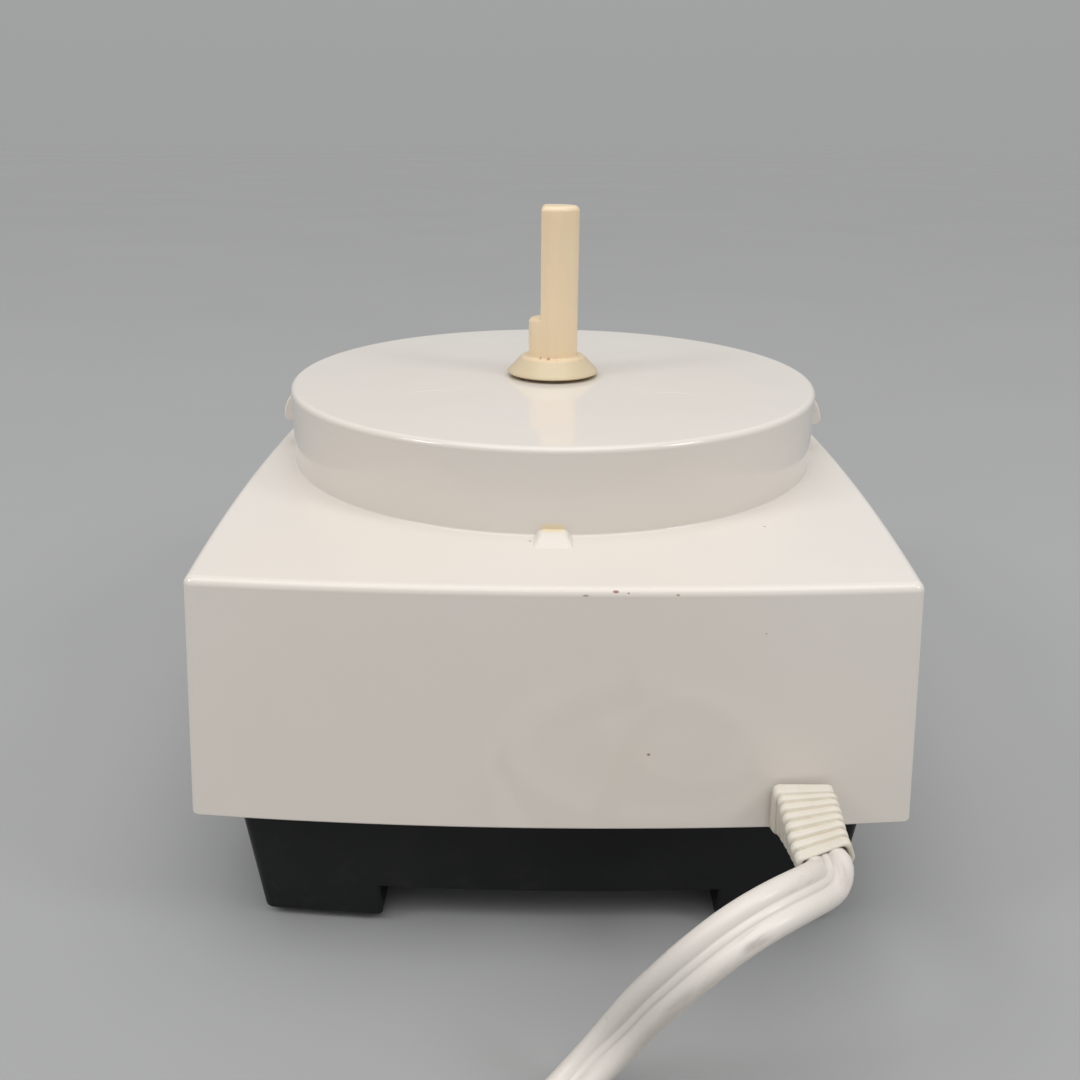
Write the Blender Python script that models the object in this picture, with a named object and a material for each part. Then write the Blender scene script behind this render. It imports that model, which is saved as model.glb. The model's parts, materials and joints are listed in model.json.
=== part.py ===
"""Motor base of a compact food processor, as separate pieces.

Sizes are in millimetres and become metres when a mesh is made. The front, with its two levers, faces -Y
and the supply cord leaves the back, +Y. The drive shaft turns about Z, and the feet stand on z = 0.
"""
import math

import bmesh
import bpy
from mathutils import Matrix, Vector
from mathutils.geometry import interpolate_bezier

MM = 0.001
GAP = 0.3                      # between pieces that touch
EXTRA = 1.0                    # how far a cutter runs past the face it cuts

# Housing: a bowed rectangle in plan, wider at the bottom than at the deck
DECK_Z = 102.0
HOUSING_BOTTOM_Z = 40.8
DECK_HALF = (83.2, 107.2)
BOW = (5.1, 3.7)               # how far the sides and the ends bow out at their middles
DRAFT = 4.0                    # the outline grows by this from deck to bottom
CORNER = 2.6
DECK_FILLET = 2.0
WALL = 2.6

# Round bowl seat on the deck
SEAT_Z = 124.7
SEAT_RADIUS = 80.0
SEAT_FILLET = 1.6
SEAT_TOP_THICKNESS = 3.0
SHAFT_HOLE_RADIUS = 7.5
COLLAR_RADIUS = 9.6
COLLAR_Z = 127.9
MARK_RADIUS = 8.2
MARK_DEPTH = 0.3

# Base pan
PAD_Z = 2.3
PAN_HALF = (75.75, 99.75)      # at the feet
PAN_DRAFT = 3.05
FLANGE_Z = (42.0, 45.0)
TUNNEL_HALF = 44.0
TUNNEL_Z = 13.1
FLOOR_Z = 15.6
WELL_X = (46.6, 72.6)
WELL_HALF_Y = 96.0
WELL_Z = 5.0
PAD_CENTRE = (60.0, 85.0)
PAD_HALF = (13.2, 12.0)

# Screws that hold the pan to the housing
BASE_SCREW_AT = (62.0, 64.0)
COLUMN_TOP_Z = 26.0

# Motor, hung from the seat by four long bolts
MOTOR_BOLT_AT = (34.5, 30.5)
CORE_HALF = (48.0, 44.0)
CORE_Z = (48.0, 92.0)
CORE_BORE = 23.0
WINDING_RADII = (24.8, 38.0)
WINDING_HEIGHT = 11.4
UPPER_BELL_Z = (108.0, 112.0)
LOWER_BELL_Z = (27.0, 31.0)
HUB_RADIUS = 11.0
HUB_LENGTH = 12.0
BEARING_RADIUS = 8.0
ROTOR_RADIUS = 22.4
SHAFT_RADIUS = 4.0
SHAFT_Z = (17.2, 172.0)
SHAFT_FLAT_X = 2.4
SHAFT_FLAT_Z = 131.0
FAN_Z = (18.6, 26.4)
FAN_RADIUS = 36.0
FAN_BLADES = 9

# Drive sheath on the shaft
SHEATH_RADIUS = 7.5
SHEATH_NECK_RADIUS = 6.15      # inside the collar
SHEATH_FLAT_X = 3.85
SHEATH_FLAT_Z = 142.0
SHEATH_TOP_Z = 175.0
SKIRT_RADIUS = 14.05
SKIRT_Z = 125.7

# Levers in the front wall
LEVER_PIVOT = (-104.5, 90.0)   # y and z of the pin
LEVER_X = 21.0
LEVER_HALF = 15.0
LEVER_PIN_RADIUS = 1.5
RIB_SPANS = ((-42.0, -39.0), (-2.0, 2.0), (39.0, 42.0))
BUTTON_Z = 76.0
BUTTON_Y = (-102.6, -97.5)

# Interlock rod in the deck
ROD_AT = (-60.0, -89.0)
ROD_RADIUS = 3.0
ROD_Z = (71.5, 108.0)
ROD_COLLAR_Z = (85.0, 87.0)
ROD_GUIDE_Z = 87.3
EAR_Z = (72.0, 73.5)

# Bracket, board and capacitor
BRACKET_Y = (-84.0, -82.5)
BRACKET_FOOT_Z = (21.9, 23.4)
BRACKET_SCREW_AT = (30.0, -76.0)
BOARD_Z = (21.9, 23.5)
BOARD_CENTRE = (0.0, 74.0)
BOARD_HALF = (38.0, 20.0)
BOARD_SCREW_AT = (32.0, 16.0)
CAPACITOR_AT = (61.0, 34.0)    # x and z of its axis
CAPACITOR_RADIUS = 11.5

# Cord: flat lead that leaves a ribbed boot, runs down to the table and ends in a coil
BOOT_ROUTE = ((-59.0, 113.9, 47.4), (-59.0, 123.6, 47.7), (-60.1, 133.2, 47.3))
BOOT_ROLL = math.radians(21.5)  # the boot is twisted, so its mouth leans
BOOT_PLATE_HALF = (7.2, 6.4)
BOOT_NARROWING = (0.7, 3.2)     # how much its half width and half height lose from the wall to the mouth
BOOT_RIBS = 5
CORD_THICKNESS = 5.0           # the flat lead is twice as wide; its round tube is as thick as the lead
CORD_ROUTE = (
    (-60.1, 134.8, 47.7), (-59.2, 138.4, 48.8), (-57.0, 143.0, 50.5), (-53.6, 147.3, 52.4),
    (-49.4, 151.4, 54.0), (-44.6, 155.2, 54.8), (-39.4, 158.3, 54.2), (-34.2, 160.5, 52.0),
    (-29.6, 161.6, 48.4), (-25.8, 161.5, 43.9), (-22.8, 160.4, 38.8), (-20.4, 158.7, 33.6),
    (-18.4, 156.8, 28.4), (-16.3, 155.2, 23.1), (-13.8, 154.3, 18.0), (-10.6, 154.5, 13.3),
    (-6.7, 155.9, 9.2), (-2.2, 158.8, 6.0), (2.6, 163.2, 3.9), (7.4, 169.8, 2.9),
    (12.2, 178.8, 2.8), (16.6, 189.2, 3.0), (20.8, 200.6, 3.8), (24.4, 212.0, 5.2),
)
COIL_CENTRE = (-41.0, 229.0)
COIL_RADII = (43.6, 63.8)
COIL_Z = (0.8, 11.4)           # the flat lead stands on its edge in the coil
LEAD_ROUTE = (
    (-70.4, 201.8, 6.4), (-65.2, 196.6, 6.9), (-58.4, 193.6, 7.2), (-50.9, 193.9, 7.3), (-44.2, 197.6, 7.4),
    (-39.4, 203.8, 7.4), (-36.6, 211.6, 7.4),
)
PLUG_HEADING = math.radians(76.0)
PLUG_LENGTH = 28.0
PLUG_HALF = (11.0, 7.0)
BLADE_LENGTH = 17.0
BLADE_SPACING = 12.7


# ---------------------------------------------------------------- materials and small helpers

def clear_scene():
    for thing in list(bpy.data.objects):
        bpy.data.objects.remove(thing)


def paint(thing, colour, roughness, metallic=0.0):
    """Give a piece its own Principled material."""
    material = bpy.data.materials.new(thing.name)
    material.use_nodes = True
    shader = material.node_tree.nodes["Principled BSDF"]
    shader.inputs["Base Color"].default_value = (*colour, 1.0)
    shader.inputs["Roughness"].default_value = roughness
    shader.inputs["Metallic"].default_value = metallic
    thing.data.materials.clear()
    thing.data.materials.append(material)
    return thing


WHITE = ((0.80, 0.76, 0.71), 0.16)
CHARCOAL = ((0.014, 0.016, 0.018), 0.42)
CREAM = ((0.74, 0.60, 0.41), 0.40)
IVORY = ((0.77, 0.72, 0.59), 0.50)
CORD_WHITE = ((0.71, 0.67, 0.62), 0.42)
RUBBER = ((0.02, 0.02, 0.02), 0.85)
STEEL = ((0.56, 0.57, 0.58), 0.32, 1.0)
LAMINATION = ((0.33, 0.33, 0.35), 0.55, 0.9)
ALUMINIUM = ((0.66, 0.67, 0.68), 0.45, 1.0)
BRONZE = ((0.55, 0.38, 0.20), 0.40, 1.0)
COPPER = ((0.60, 0.24, 0.11), 0.38, 0.9)
BRASS = ((0.72, 0.56, 0.28), 0.30, 1.0)
BLACK_PLASTIC = ((0.025, 0.025, 0.028), 0.45)
GREY_PLASTIC = ((0.42, 0.42, 0.43), 0.50)
BLUE_PLASTIC = ((0.06, 0.16, 0.36), 0.45)
BOARD_TAN = ((0.42, 0.30, 0.14), 0.60)


def new_object(name, bm, smooth_angle=35.0):
    """Turn a bmesh in millimetres into an object in metres."""
    bmesh.ops.scale(bm, vec=(MM, MM, MM), verts=bm.verts)
    bmesh.ops.recalc_face_normals(bm, faces=bm.faces)
    mesh = bpy.data.meshes.new(name)
    bm.to_mesh(mesh)
    bm.free()
    mesh.shade_smooth()
    mesh.set_sharp_from_angle(angle=math.radians(smooth_angle))
    thing = bpy.data.objects.new(name, mesh)
    bpy.context.collection.objects.link(thing)
    return thing


def box(name, x, y, z, bevel=0.0):
    """A box between two x, two y and two z values, with its edges rounded if bevel is given."""
    bm = bmesh.new()
    bmesh.ops.create_cube(bm, size=1.0)
    spans = (x[1] - x[0], y[1] - y[0], z[1] - z[0])
    middle = (sum(x) / 2, sum(y) / 2, sum(z) / 2)
    bmesh.ops.transform(bm, matrix=Matrix.LocRotScale(middle, None, spans), verts=bm.verts)
    if bevel:
        bmesh.ops.bevel(bm, geom=bm.edges[:], offset=bevel, segments=2, profile=0.5, affect='EDGES')
    return new_object(name, bm)


def loft(name, loops):
    """A skin through loops of equal length, closed at both ends."""
    bm = bmesh.new()
    rings = [[bm.verts.new(point) for point in loop] for loop in loops]
    for low, high in zip(rings, rings[1:]):
        for i in range(len(low)):
            bm.faces.new((low[i - 1], low[i], high[i], high[i - 1]))
    bm.faces.new(rings[0])
    bm.faces.new(rings[-1])
    return new_object(name, bm)


def turned(name, profile, closed=False, steps=32, at=(0.0, 0.0)):
    """Spin a profile of (radius, z) about Z; an open profile starts and ends on the axis."""
    bm = bmesh.new()
    verts = [bm.verts.new((radius, 0.0, z)) for radius, z in profile]
    pairs = list(zip(verts, verts[1:]))
    if closed:
        pairs.append((verts[-1], verts[0]))
    edges = [bm.edges.new(pair) for pair in pairs]
    bmesh.ops.spin(bm, geom=verts + edges, cent=(0, 0, 0), axis=(0, 0, 1), dvec=(0, 0, 0),
                   angle=2 * math.pi, steps=steps, use_merge=True)
    bmesh.ops.remove_doubles(bm, verts=bm.verts, dist=0.001)
    bmesh.ops.translate(bm, vec=(*at, 0.0), verts=bm.verts)
    return new_object(name, bm)


def rod(name, radius, start, end, steps=16):
    """A round bar between two points."""
    start = Vector(start)
    along = Vector(end) - start
    bm = bmesh.new()
    turn = Vector((0, 0, 1)).rotation_difference(along).to_matrix().to_4x4()
    place = Matrix.Translation(start + along / 2) @ turn
    bmesh.ops.create_cone(bm, cap_ends=True, segments=steps, radius1=radius, radius2=radius,
                          depth=along.length, matrix=place)
    return new_object(name, bm)


def upright(name, radius, z, at=(0.0, 0.0), steps=24):
    """A vertical round bar."""
    return rod(name, radius, (*at, z[0]), (*at, z[1]), steps)


def combine(thing, operation, tools):
    """Boolean each tool into a piece; the tools stay as hidden guides."""
    for tool in tools:
        tool.hide_render = True
        tool.display_type = 'WIRE'
        change = thing.modifiers.new(tool.name, 'BOOLEAN')
        change.operation = operation
        change.object = tool
    return thing


def four_ways(at):
    """A point mirrored into all four quarters."""
    return [(x * at[0], y * at[1]) for x in (-1, 1) for y in (-1, 1)]


def bowed_outline(half, bow, corner, z, side_steps=8, corner_steps=3):
    """Plan outline, anticlockwise: four shallow bows joined by round corners."""
    points = []
    sides = ((half[0], half[1], bow[0]), (half[1], half[0], bow[1])) * 2
    for quarter, (reach, width, swell) in enumerate(sides):
        turn = Matrix.Rotation(quarter * math.pi / 2, 2)
        flat = width - corner
        for i in range(side_steps + 1):
            t = 2 * i / side_steps - 1
            points.append(turn @ Vector((reach + swell * (1 - t * t), flat * t)))
        for i in range(1, corner_steps):
            angle = math.pi / 2 * i / corner_steps
            points.append(turn @ Vector((reach - corner + corner * math.cos(angle),
                                         flat + corner * math.sin(angle))))
    return [(point.x, point.y, z) for point in points]


def housing_half(z, inset=0.0):
    """Half widths of the housing's outline at a height."""
    grow = DRAFT * (DECK_Z - z) / (DECK_Z - HOUSING_BOTTOM_Z) - inset
    return DECK_HALF[0] + grow, DECK_HALF[1] + grow


def pan_half(z, inset=0.0):
    """Half widths of the base pan's outline at a height."""
    grow = PAN_DRAFT * (z - PAD_Z) / (HOUSING_BOTTOM_Z - PAD_Z) - inset
    return PAN_HALF[0] + grow, PAN_HALF[1] + grow


def smooth_curve(route, spacing):
    """Points about evenly apart on a Catmull-Rom curve through the route's own points."""
    route = [Vector(point) for point in route]
    ends = [2 * route[0] - route[1]] + route + [2 * route[-1] - route[-2]]
    fine = []
    for before, start, stop, after in zip(ends, ends[1:], ends[2:], ends[3:]):
        fine += interpolate_bezier(start, start + (stop - before) / 6, stop - (after - start) / 6, stop, 12)[:-1]
    fine.append(route[-1])
    points = [fine[0]]
    for point in fine:
        if (point - points[-1]).length >= spacing:
            points.append(point)
    if (points[-1] - fine[-1]).length < spacing / 2:
        points.pop()
    return points + [fine[-1]]


def tube(name, points, radius, resolution):
    """A round tube along points, closed at both ends."""
    curve = bpy.data.curves.new(name, 'CURVE')
    curve.dimensions = '3D'
    curve.bevel_depth = radius * MM
    curve.bevel_resolution = resolution
    curve.use_fill_caps = True
    line = curve.splines.new('POLY')
    line.points.add(len(points) - 1)
    for spot, point in zip(line.points, points):
        spot.co = (*(Vector(point) * MM), 1.0)
    thing = bpy.data.objects.new(name, curve)
    bpy.context.collection.objects.link(thing)
    return thing


def rounded_loop(centre, across, up, half, corner, steps=2):
    """A rounded rectangle in the plane of two directions."""
    points = []
    for quarter in range(4):
        middle = math.pi / 2 * quarter
        sx = 1 if quarter in (0, 3) else -1
        sy = 1 if quarter in (0, 1) else -1
        for i in range(steps + 1):
            angle = middle + math.pi / 2 * i / steps
            points.append(centre + across * (sx * (half[0] - corner) + corner * math.cos(angle))
                          + up * (sy * (half[1] - corner) + corner * math.sin(angle)))
    return points


# ---------------------------------------------------------------- housing and base

def side_lug(side):
    """Rounded catch on the seat's wall, thickest just above its flat underside."""
    root = SEAT_RADIUS - 2
    profile = ((root, 110.6), (84.0, 110.6), (84.3, 112.0), (83.6, 115.0), (82.2, 118.0), (80.2, 119.8),
               (root, 119.8))
    half_width = 4.2
    loops = [[(side * x, y, z) for x, z in profile] for y in (-half_width, half_width)]
    return loft("side_lug", loops)


def deck_lug(side):
    """Low ramp on the deck at the foot of the seat's wall."""
    root = side * (SEAT_RADIUS - 3)
    foot = [(-5.4, root), (5.4, root), (5.4, side * 89.6), (-5.4, side * 89.6)]
    top = [(-3.4, root), (3.4, root), (3.4, side * 84.0), (-3.4, side * 84.0)]
    return loft("deck_lug", [[(x, y, DECK_Z - 1) for x, y in foot], [(x, y, DECK_Z + 1.8) for x, y in top]])


def make_housing():
    loops = [bowed_outline(housing_half(HOUSING_BOTTOM_Z), BOW, CORNER, HOUSING_BOTTOM_Z)]
    for step in range(4):
        angle = math.pi / 6 * step
        inset = DECK_FILLET * (1 - math.cos(angle))
        z = DECK_Z - DECK_FILLET * (1 - math.sin(angle))
        loops.append(bowed_outline(housing_half(z, inset), BOW, CORNER - inset, z))
    housing = loft("housing", loops)

    seat_profile = [(0.0, DECK_Z - 2), (SEAT_RADIUS + 0.5, DECK_Z - 2)]
    for step in range(4):
        angle = math.pi / 6 * step
        seat_profile.append((SEAT_RADIUS - SEAT_FILLET * (1 - math.cos(angle)),
                             SEAT_Z - SEAT_FILLET * (1 - math.sin(angle))))
    seat = turned("seat", seat_profile + [(0.0, SEAT_Z)], steps=80)
    combine(housing, 'UNION', [seat, side_lug(-1), side_lug(1), deck_lug(-1), deck_lug(1)])

    inner_top = DECK_Z - WALL
    inside = [bowed_outline(housing_half(z, WALL), BOW, 1.0, z) for z in (HOUSING_BOTTOM_Z - EXTRA, inner_top)]
    seat_inside = upright("seat_inside", SEAT_RADIUS - WALL,
                          (inner_top - EXTRA, SEAT_Z - SEAT_TOP_THICKNESS), steps=40)
    combine(housing, 'DIFFERENCE', [loft("housing_inside", inside), seat_inside])

    bosses = [upright("motor_boss", 5.5, (UPPER_BELL_Z[1] + GAP, SEAT_Z - 2), at, 12)
              for at in four_ways(MOTOR_BOLT_AT)]
    bosses += [upright("base_boss", 4.5, (COLUMN_TOP_Z + GAP, DECK_Z - 1), at, 12)
               for at in four_ways(BASE_SCREW_AT)]
    bosses.append(upright("rod_guide", 5.5, (ROD_GUIDE_Z, DECK_Z - 1), ROD_AT, 14))
    bosses.append(upright("collar", COLLAR_RADIUS, (SEAT_Z - 1, COLLAR_Z), steps=32))
    bosses += [box("lever_rib", span, (-109.6, -100.0), (84.0, DECK_Z - 1)) for span in RIB_SPANS]
    combine(housing, 'UNION', bosses)

    holes = [upright("shaft_hole", SHAFT_HOLE_RADIUS, (SEAT_Z - 5, COLLAR_Z + EXTRA), steps=32)]
    for at in four_ways(MOTOR_BOLT_AT):
        holes.append(upright("motor_bolt_hole", 2.4, (UPPER_BELL_Z[1] - EXTRA, 120.0), at, 8))
        if at[1] > 0:
            holes.append(upright("round_mark", MARK_RADIUS, (SEAT_Z - MARK_DEPTH, SEAT_Z + EXTRA), at, 24))
    for at in four_ways(BASE_SCREW_AT):
        holes.append(upright("base_screw_hole", 2.1, (COLUMN_TOP_Z - EXTRA, 46.0), at, 8))
    holes.append(upright("rod_hole", ROD_RADIUS + GAP, (ROD_GUIDE_Z - EXTRA, DECK_Z + EXTRA), ROD_AT, 14))
    for x in (-LEVER_X, LEVER_X):
        holes.append(box("lever_window", (x - LEVER_HALF - 1, x + LEVER_HALF + 1), (-120.0, -105.0), (54.4, 93.6)))
    y, z = LEVER_PIVOT
    holes.append(rod("lever_pin_hole", LEVER_PIN_RADIUS + GAP, (-43, y, z), (43, y, z), 12))
    holes.append(box("boot_slot", (-64.9, -53.1), (104.0, 116.0), (HOUSING_BOTTOM_Z - EXTRA, 51.0)))
    combine(housing, 'DIFFERENCE', holes)
    paint(housing, *WHITE)


def make_base_pan():
    body = [bowed_outline(pan_half(z), BOW, CORNER, z) for z in (PAD_Z, FLANGE_Z[1])]
    pan = loft("base_pan", body)
    flange_half = housing_half(FLANGE_Z[1], WALL + GAP)
    flange = loft("flange", [bowed_outline(flange_half, BOW, 1.0, z) for z in FLANGE_Z])
    columns = [upright("screw_column", 6.0, (PAD_Z + 0.5, COLUMN_TOP_Z), at, 14)
               for at in four_ways(BASE_SCREW_AT)]
    stands = [upright("bracket_stand", 3.6, (FLOOR_Z - 1, BRACKET_FOOT_Z[0] - GAP),
                      (side * BRACKET_SCREW_AT[0], BRACKET_SCREW_AT[1]), 12) for side in (-1, 1)]
    stands += [upright("board_stand", 3.6, (FLOOR_Z - 1, BOARD_Z[0] - GAP),
                       (BOARD_CENTRE[0] + x, BOARD_CENTRE[1] + y), 12) for x, y in four_ways(BOARD_SCREW_AT)]

    combine(pan, 'UNION', [flange])
    inside = loft("pan_inside", [bowed_outline(pan_half(z, WALL), BOW, 1.0, z)
                                 for z in (FLOOR_Z, FLANGE_Z[1] + EXTRA)])
    tunnel = box("tunnel", (-TUNNEL_HALF, TUNNEL_HALF), (-120.0, 120.0), (-EXTRA, TUNNEL_Z))
    wells = [box("foot_well", sorted((side * WELL_X[0], side * WELL_X[1])), (-WELL_HALF_Y, WELL_HALF_Y),
                 (WELL_Z, FLOOR_Z + EXTRA)) for side in (-1, 1)]
    combine(pan, 'DIFFERENCE', [inside, tunnel] + wells)
    combine(pan, 'UNION', columns + stands)

    cuts = []
    for at in four_ways(BASE_SCREW_AT):
        cuts.append(upright("screw_recess", 4.4, (0.0, 20.0), at, 14))
        cuts.append(upright("screw_way", 2.4, (19.0, COLUMN_TOP_Z + EXTRA), at, 8))
    for x in range(-30, 31, 10):
        cuts.append(box("vent", (x - 2, x + 2), (-24.0, 24.0), (TUNNEL_Z - EXTRA, FLOOR_Z + EXTRA)))
    cuts.append(box("boot_notch", (-68.0, -50.0), (98.0, 116.0), (HOUSING_BOTTOM_Z - 2.5, FLANGE_Z[1] + EXTRA)))
    for x, y in [(side * BRACKET_SCREW_AT[0], BRACKET_SCREW_AT[1]) for side in (-1, 1)] + board_screws():
        cuts.append(upright("stand_hole", 1.7, (FLOOR_Z + 1, BOARD_Z[0] + EXTRA), (x, y), 8))
    combine(pan, 'DIFFERENCE', cuts)
    paint(pan, *CHARCOAL)


def board_screws():
    """The two opposite corners of the board that are screwed down."""
    return [(BOARD_CENTRE[0] + side * BOARD_SCREW_AT[0], BOARD_CENTRE[1] + side * BOARD_SCREW_AT[1])
            for side in (-1, 1)]


def make_foot_pads():
    for number, (x, y) in enumerate(four_ways(PAD_CENTRE), 1):
        centre = Vector((x, y, 0.0))
        loops = [rounded_loop(centre + Vector((0, 0, z)), Vector((1, 0, 0)), Vector((0, 1, 0)),
                              (PAD_HALF[0] - inset, PAD_HALF[1] - inset), 3.0 - inset)
                 for z, inset in ((0.0, 0.5), (0.5, 0.0), (PAD_Z - GAP, 0.0))]
        paint(loft(f"foot_pad_{number}", loops), *RUBBER)


def make_screw(name, at, head_radius, head_z, tip_z, radius):
    """Pan-head screw: head_z is the span of its head, and the shank runs from it to tip_z."""
    low, high = head_z
    if tip_z > high:
        profile = [(0, low), (head_radius * 0.7, low), (head_radius, low + 0.8), (head_radius, high),
                   (radius, high), (radius, tip_z - 1), (0, tip_z)]
    else:
        profile = [(0, tip_z), (radius, tip_z + 1), (radius, low), (head_radius, low),
                   (head_radius, high - 0.8), (head_radius * 0.7, high), (0, high)]
    screw = turned(name, profile, steps=10, at=at)
    face = low if tip_z > high else high
    slot = box("driver_slot", (at[0] - head_radius, at[0] + head_radius), (at[1] - 0.4, at[1] + 0.4),
               (face - 0.9, face + 0.9))
    paint(combine(screw, 'DIFFERENCE', [slot]), *STEEL)


def make_fasteners():
    for number, at in enumerate(four_ways(BASE_SCREW_AT), 1):
        make_screw(f"base_screw_{number}", at, 3.8, (16.7, 20.0 - GAP), 42.0, 1.7)
    for number, at in enumerate(four_ways(MOTOR_BOLT_AT), 1):
        make_screw(f"motor_bolt_{number}", at, 3.8, (23.4, LOWER_BELL_Z[0] - GAP), 119.0, 2.0)
    for number, side in enumerate((-1, 1), 1):
        at = (side * BRACKET_SCREW_AT[0], BRACKET_SCREW_AT[1])
        make_screw(f"bracket_screw_{number}", at, 2.8, (BRACKET_FOOT_Z[1] + GAP, 25.7), 17.2, 1.3)
    for number, at in enumerate(board_screws(), 1):
        make_screw(f"board_screw_{number}", at, 2.8, (BOARD_Z[1] + GAP, 25.8), 17.2, 1.3)


# ---------------------------------------------------------------- motor and drive

def bolt_ways(z):
    """Cutters for the four bolt holes through a motor piece."""
    return [upright("bolt_way", 2.4, (z[0] - EXTRA, z[1] + EXTRA), at, 8) for at in four_ways(MOTOR_BOLT_AT)]


def make_stator():
    core = box("stator_core", (-CORE_HALF[0], CORE_HALF[0]), (-CORE_HALF[1], CORE_HALF[1]), CORE_Z, 1.0)
    combine(core, 'DIFFERENCE', [upright("core_bore", CORE_BORE, (CORE_Z[0] - EXTRA, CORE_Z[1] + EXTRA))])
    combine(core, 'DIFFERENCE', bolt_ways(CORE_Z))
    paint(core, *LAMINATION)
    inner, outer = WINDING_RADII
    middle = (inner + outer) / 2
    for name, low in (("winding_lower", CORE_Z[0] - GAP - WINDING_HEIGHT), ("winding_upper", CORE_Z[1] + GAP)):
        profile = []
        for step in range(8):
            angle = 2 * math.pi * (step + 0.5) / 8
            profile.append((middle + (outer - inner) / 2 * math.cos(angle),
                            low + WINDING_HEIGHT / 2 + WINDING_HEIGHT / 2 * math.sin(angle)))
        paint(turned(name, profile, closed=True, steps=24), *COPPER)


def make_end_bells():
    """Plate with a bearing hub and four posts that stand on the core."""
    for name, plate_z, post_z, hub_z in (
            ("end_bell_upper", UPPER_BELL_Z, (CORE_Z[1] + GAP, UPPER_BELL_Z[1] - 1),
             (UPPER_BELL_Z[1] - HUB_LENGTH, UPPER_BELL_Z[1])),
            ("end_bell_lower", LOWER_BELL_Z, (LOWER_BELL_Z[0] + 1, CORE_Z[0] - GAP),
             (LOWER_BELL_Z[0], LOWER_BELL_Z[0] + HUB_LENGTH))):
        bell = box(name, (-43.0, 43.0), (-39.0, 39.0), plate_z, 0.8)
        posts = [upright("bell_post", 5.0, post_z, at, 12) for at in four_ways(MOTOR_BOLT_AT)]
        combine(bell, 'UNION', posts + [upright("bell_hub", HUB_RADIUS, hub_z, steps=20)])
        through = (hub_z[0] - EXTRA, hub_z[1] + EXTRA)
        windows = [box("bell_window", sorted((side * 16.0, side * 27.0)), (-22.0, 22.0),
                       (plate_z[0] - EXTRA, plate_z[1] + EXTRA)) for side in (-1, 1)]
        combine(bell, 'DIFFERENCE', [upright("bearing_seat", BEARING_RADIUS + GAP, through)] + windows)
        combine(bell, 'DIFFERENCE', bolt_ways((min(plate_z[0], post_z[0]), max(plate_z[1], post_z[1]))))
        paint(bell, *ALUMINIUM)
        bore = SHAFT_RADIUS + GAP
        low, high = hub_z[0] + GAP, hub_z[1] - GAP
        profile = [(bore, low), (BEARING_RADIUS, low), (BEARING_RADIUS, high), (bore, high)]
        paint(turned(name.replace("end_bell", "bearing"), profile, closed=True, steps=20), *BRONZE)


def make_rotor_and_shaft():
    bore = SHAFT_RADIUS + GAP
    ring_low, ring_high = CORE_Z[0] - 4, CORE_Z[1] + 4
    profile = [(bore, CORE_Z[0]), (12.0, CORE_Z[0]), (12.0, ring_low), (20.5, ring_low), (20.5, CORE_Z[0]),
               (ROTOR_RADIUS, CORE_Z[0]), (ROTOR_RADIUS, CORE_Z[1]), (20.5, CORE_Z[1]), (20.5, ring_high),
               (12.0, ring_high), (12.0, CORE_Z[1]), (bore, CORE_Z[1])]
    paint(turned("rotor", profile, closed=True, steps=24), *LAMINATION)
    low, high = SHAFT_Z
    profile = [(0, low), (SHAFT_RADIUS - 0.5, low), (SHAFT_RADIUS, low + 0.5), (SHAFT_RADIUS, high - 0.5),
               (SHAFT_RADIUS - 0.5, high), (0, high)]
    shaft = turned("motor_shaft", profile, steps=20)
    flat = box("shaft_flat", (SHAFT_FLAT_X, SHAFT_RADIUS + 2), (-5, 5), (SHAFT_FLAT_Z, high + EXTRA))
    paint(combine(shaft, 'DIFFERENCE', [flat]), *STEEL)


def make_fan_and_slinger():
    bore = SHAFT_RADIUS + GAP
    low, high = FAN_Z
    disc = [(bore, low), (FAN_RADIUS, low), (FAN_RADIUS, low + 1.5), (8.0, low + 1.5), (8.0, high), (bore, high)]
    fan = turned("cooling_fan", disc, closed=True, steps=28)
    for number in range(FAN_BLADES):
        blade = box("fan_blade", (7.0, FAN_RADIUS - 1), (-0.8, 0.8), (low + 0.7, high))
        blade.rotation_euler.z = 2 * math.pi * number / FAN_BLADES
        combine(fan, 'UNION', [blade])
    paint(fan, *BLACK_PLASTIC)
    slinger = [(bore, 113.0), (7.0, 113.0), (10.4, 115.4), (10.4, 116.6), (bore, 116.6)]
    paint(turned("shaft_slinger", slinger, closed=True, steps=16), *RUBBER)


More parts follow.
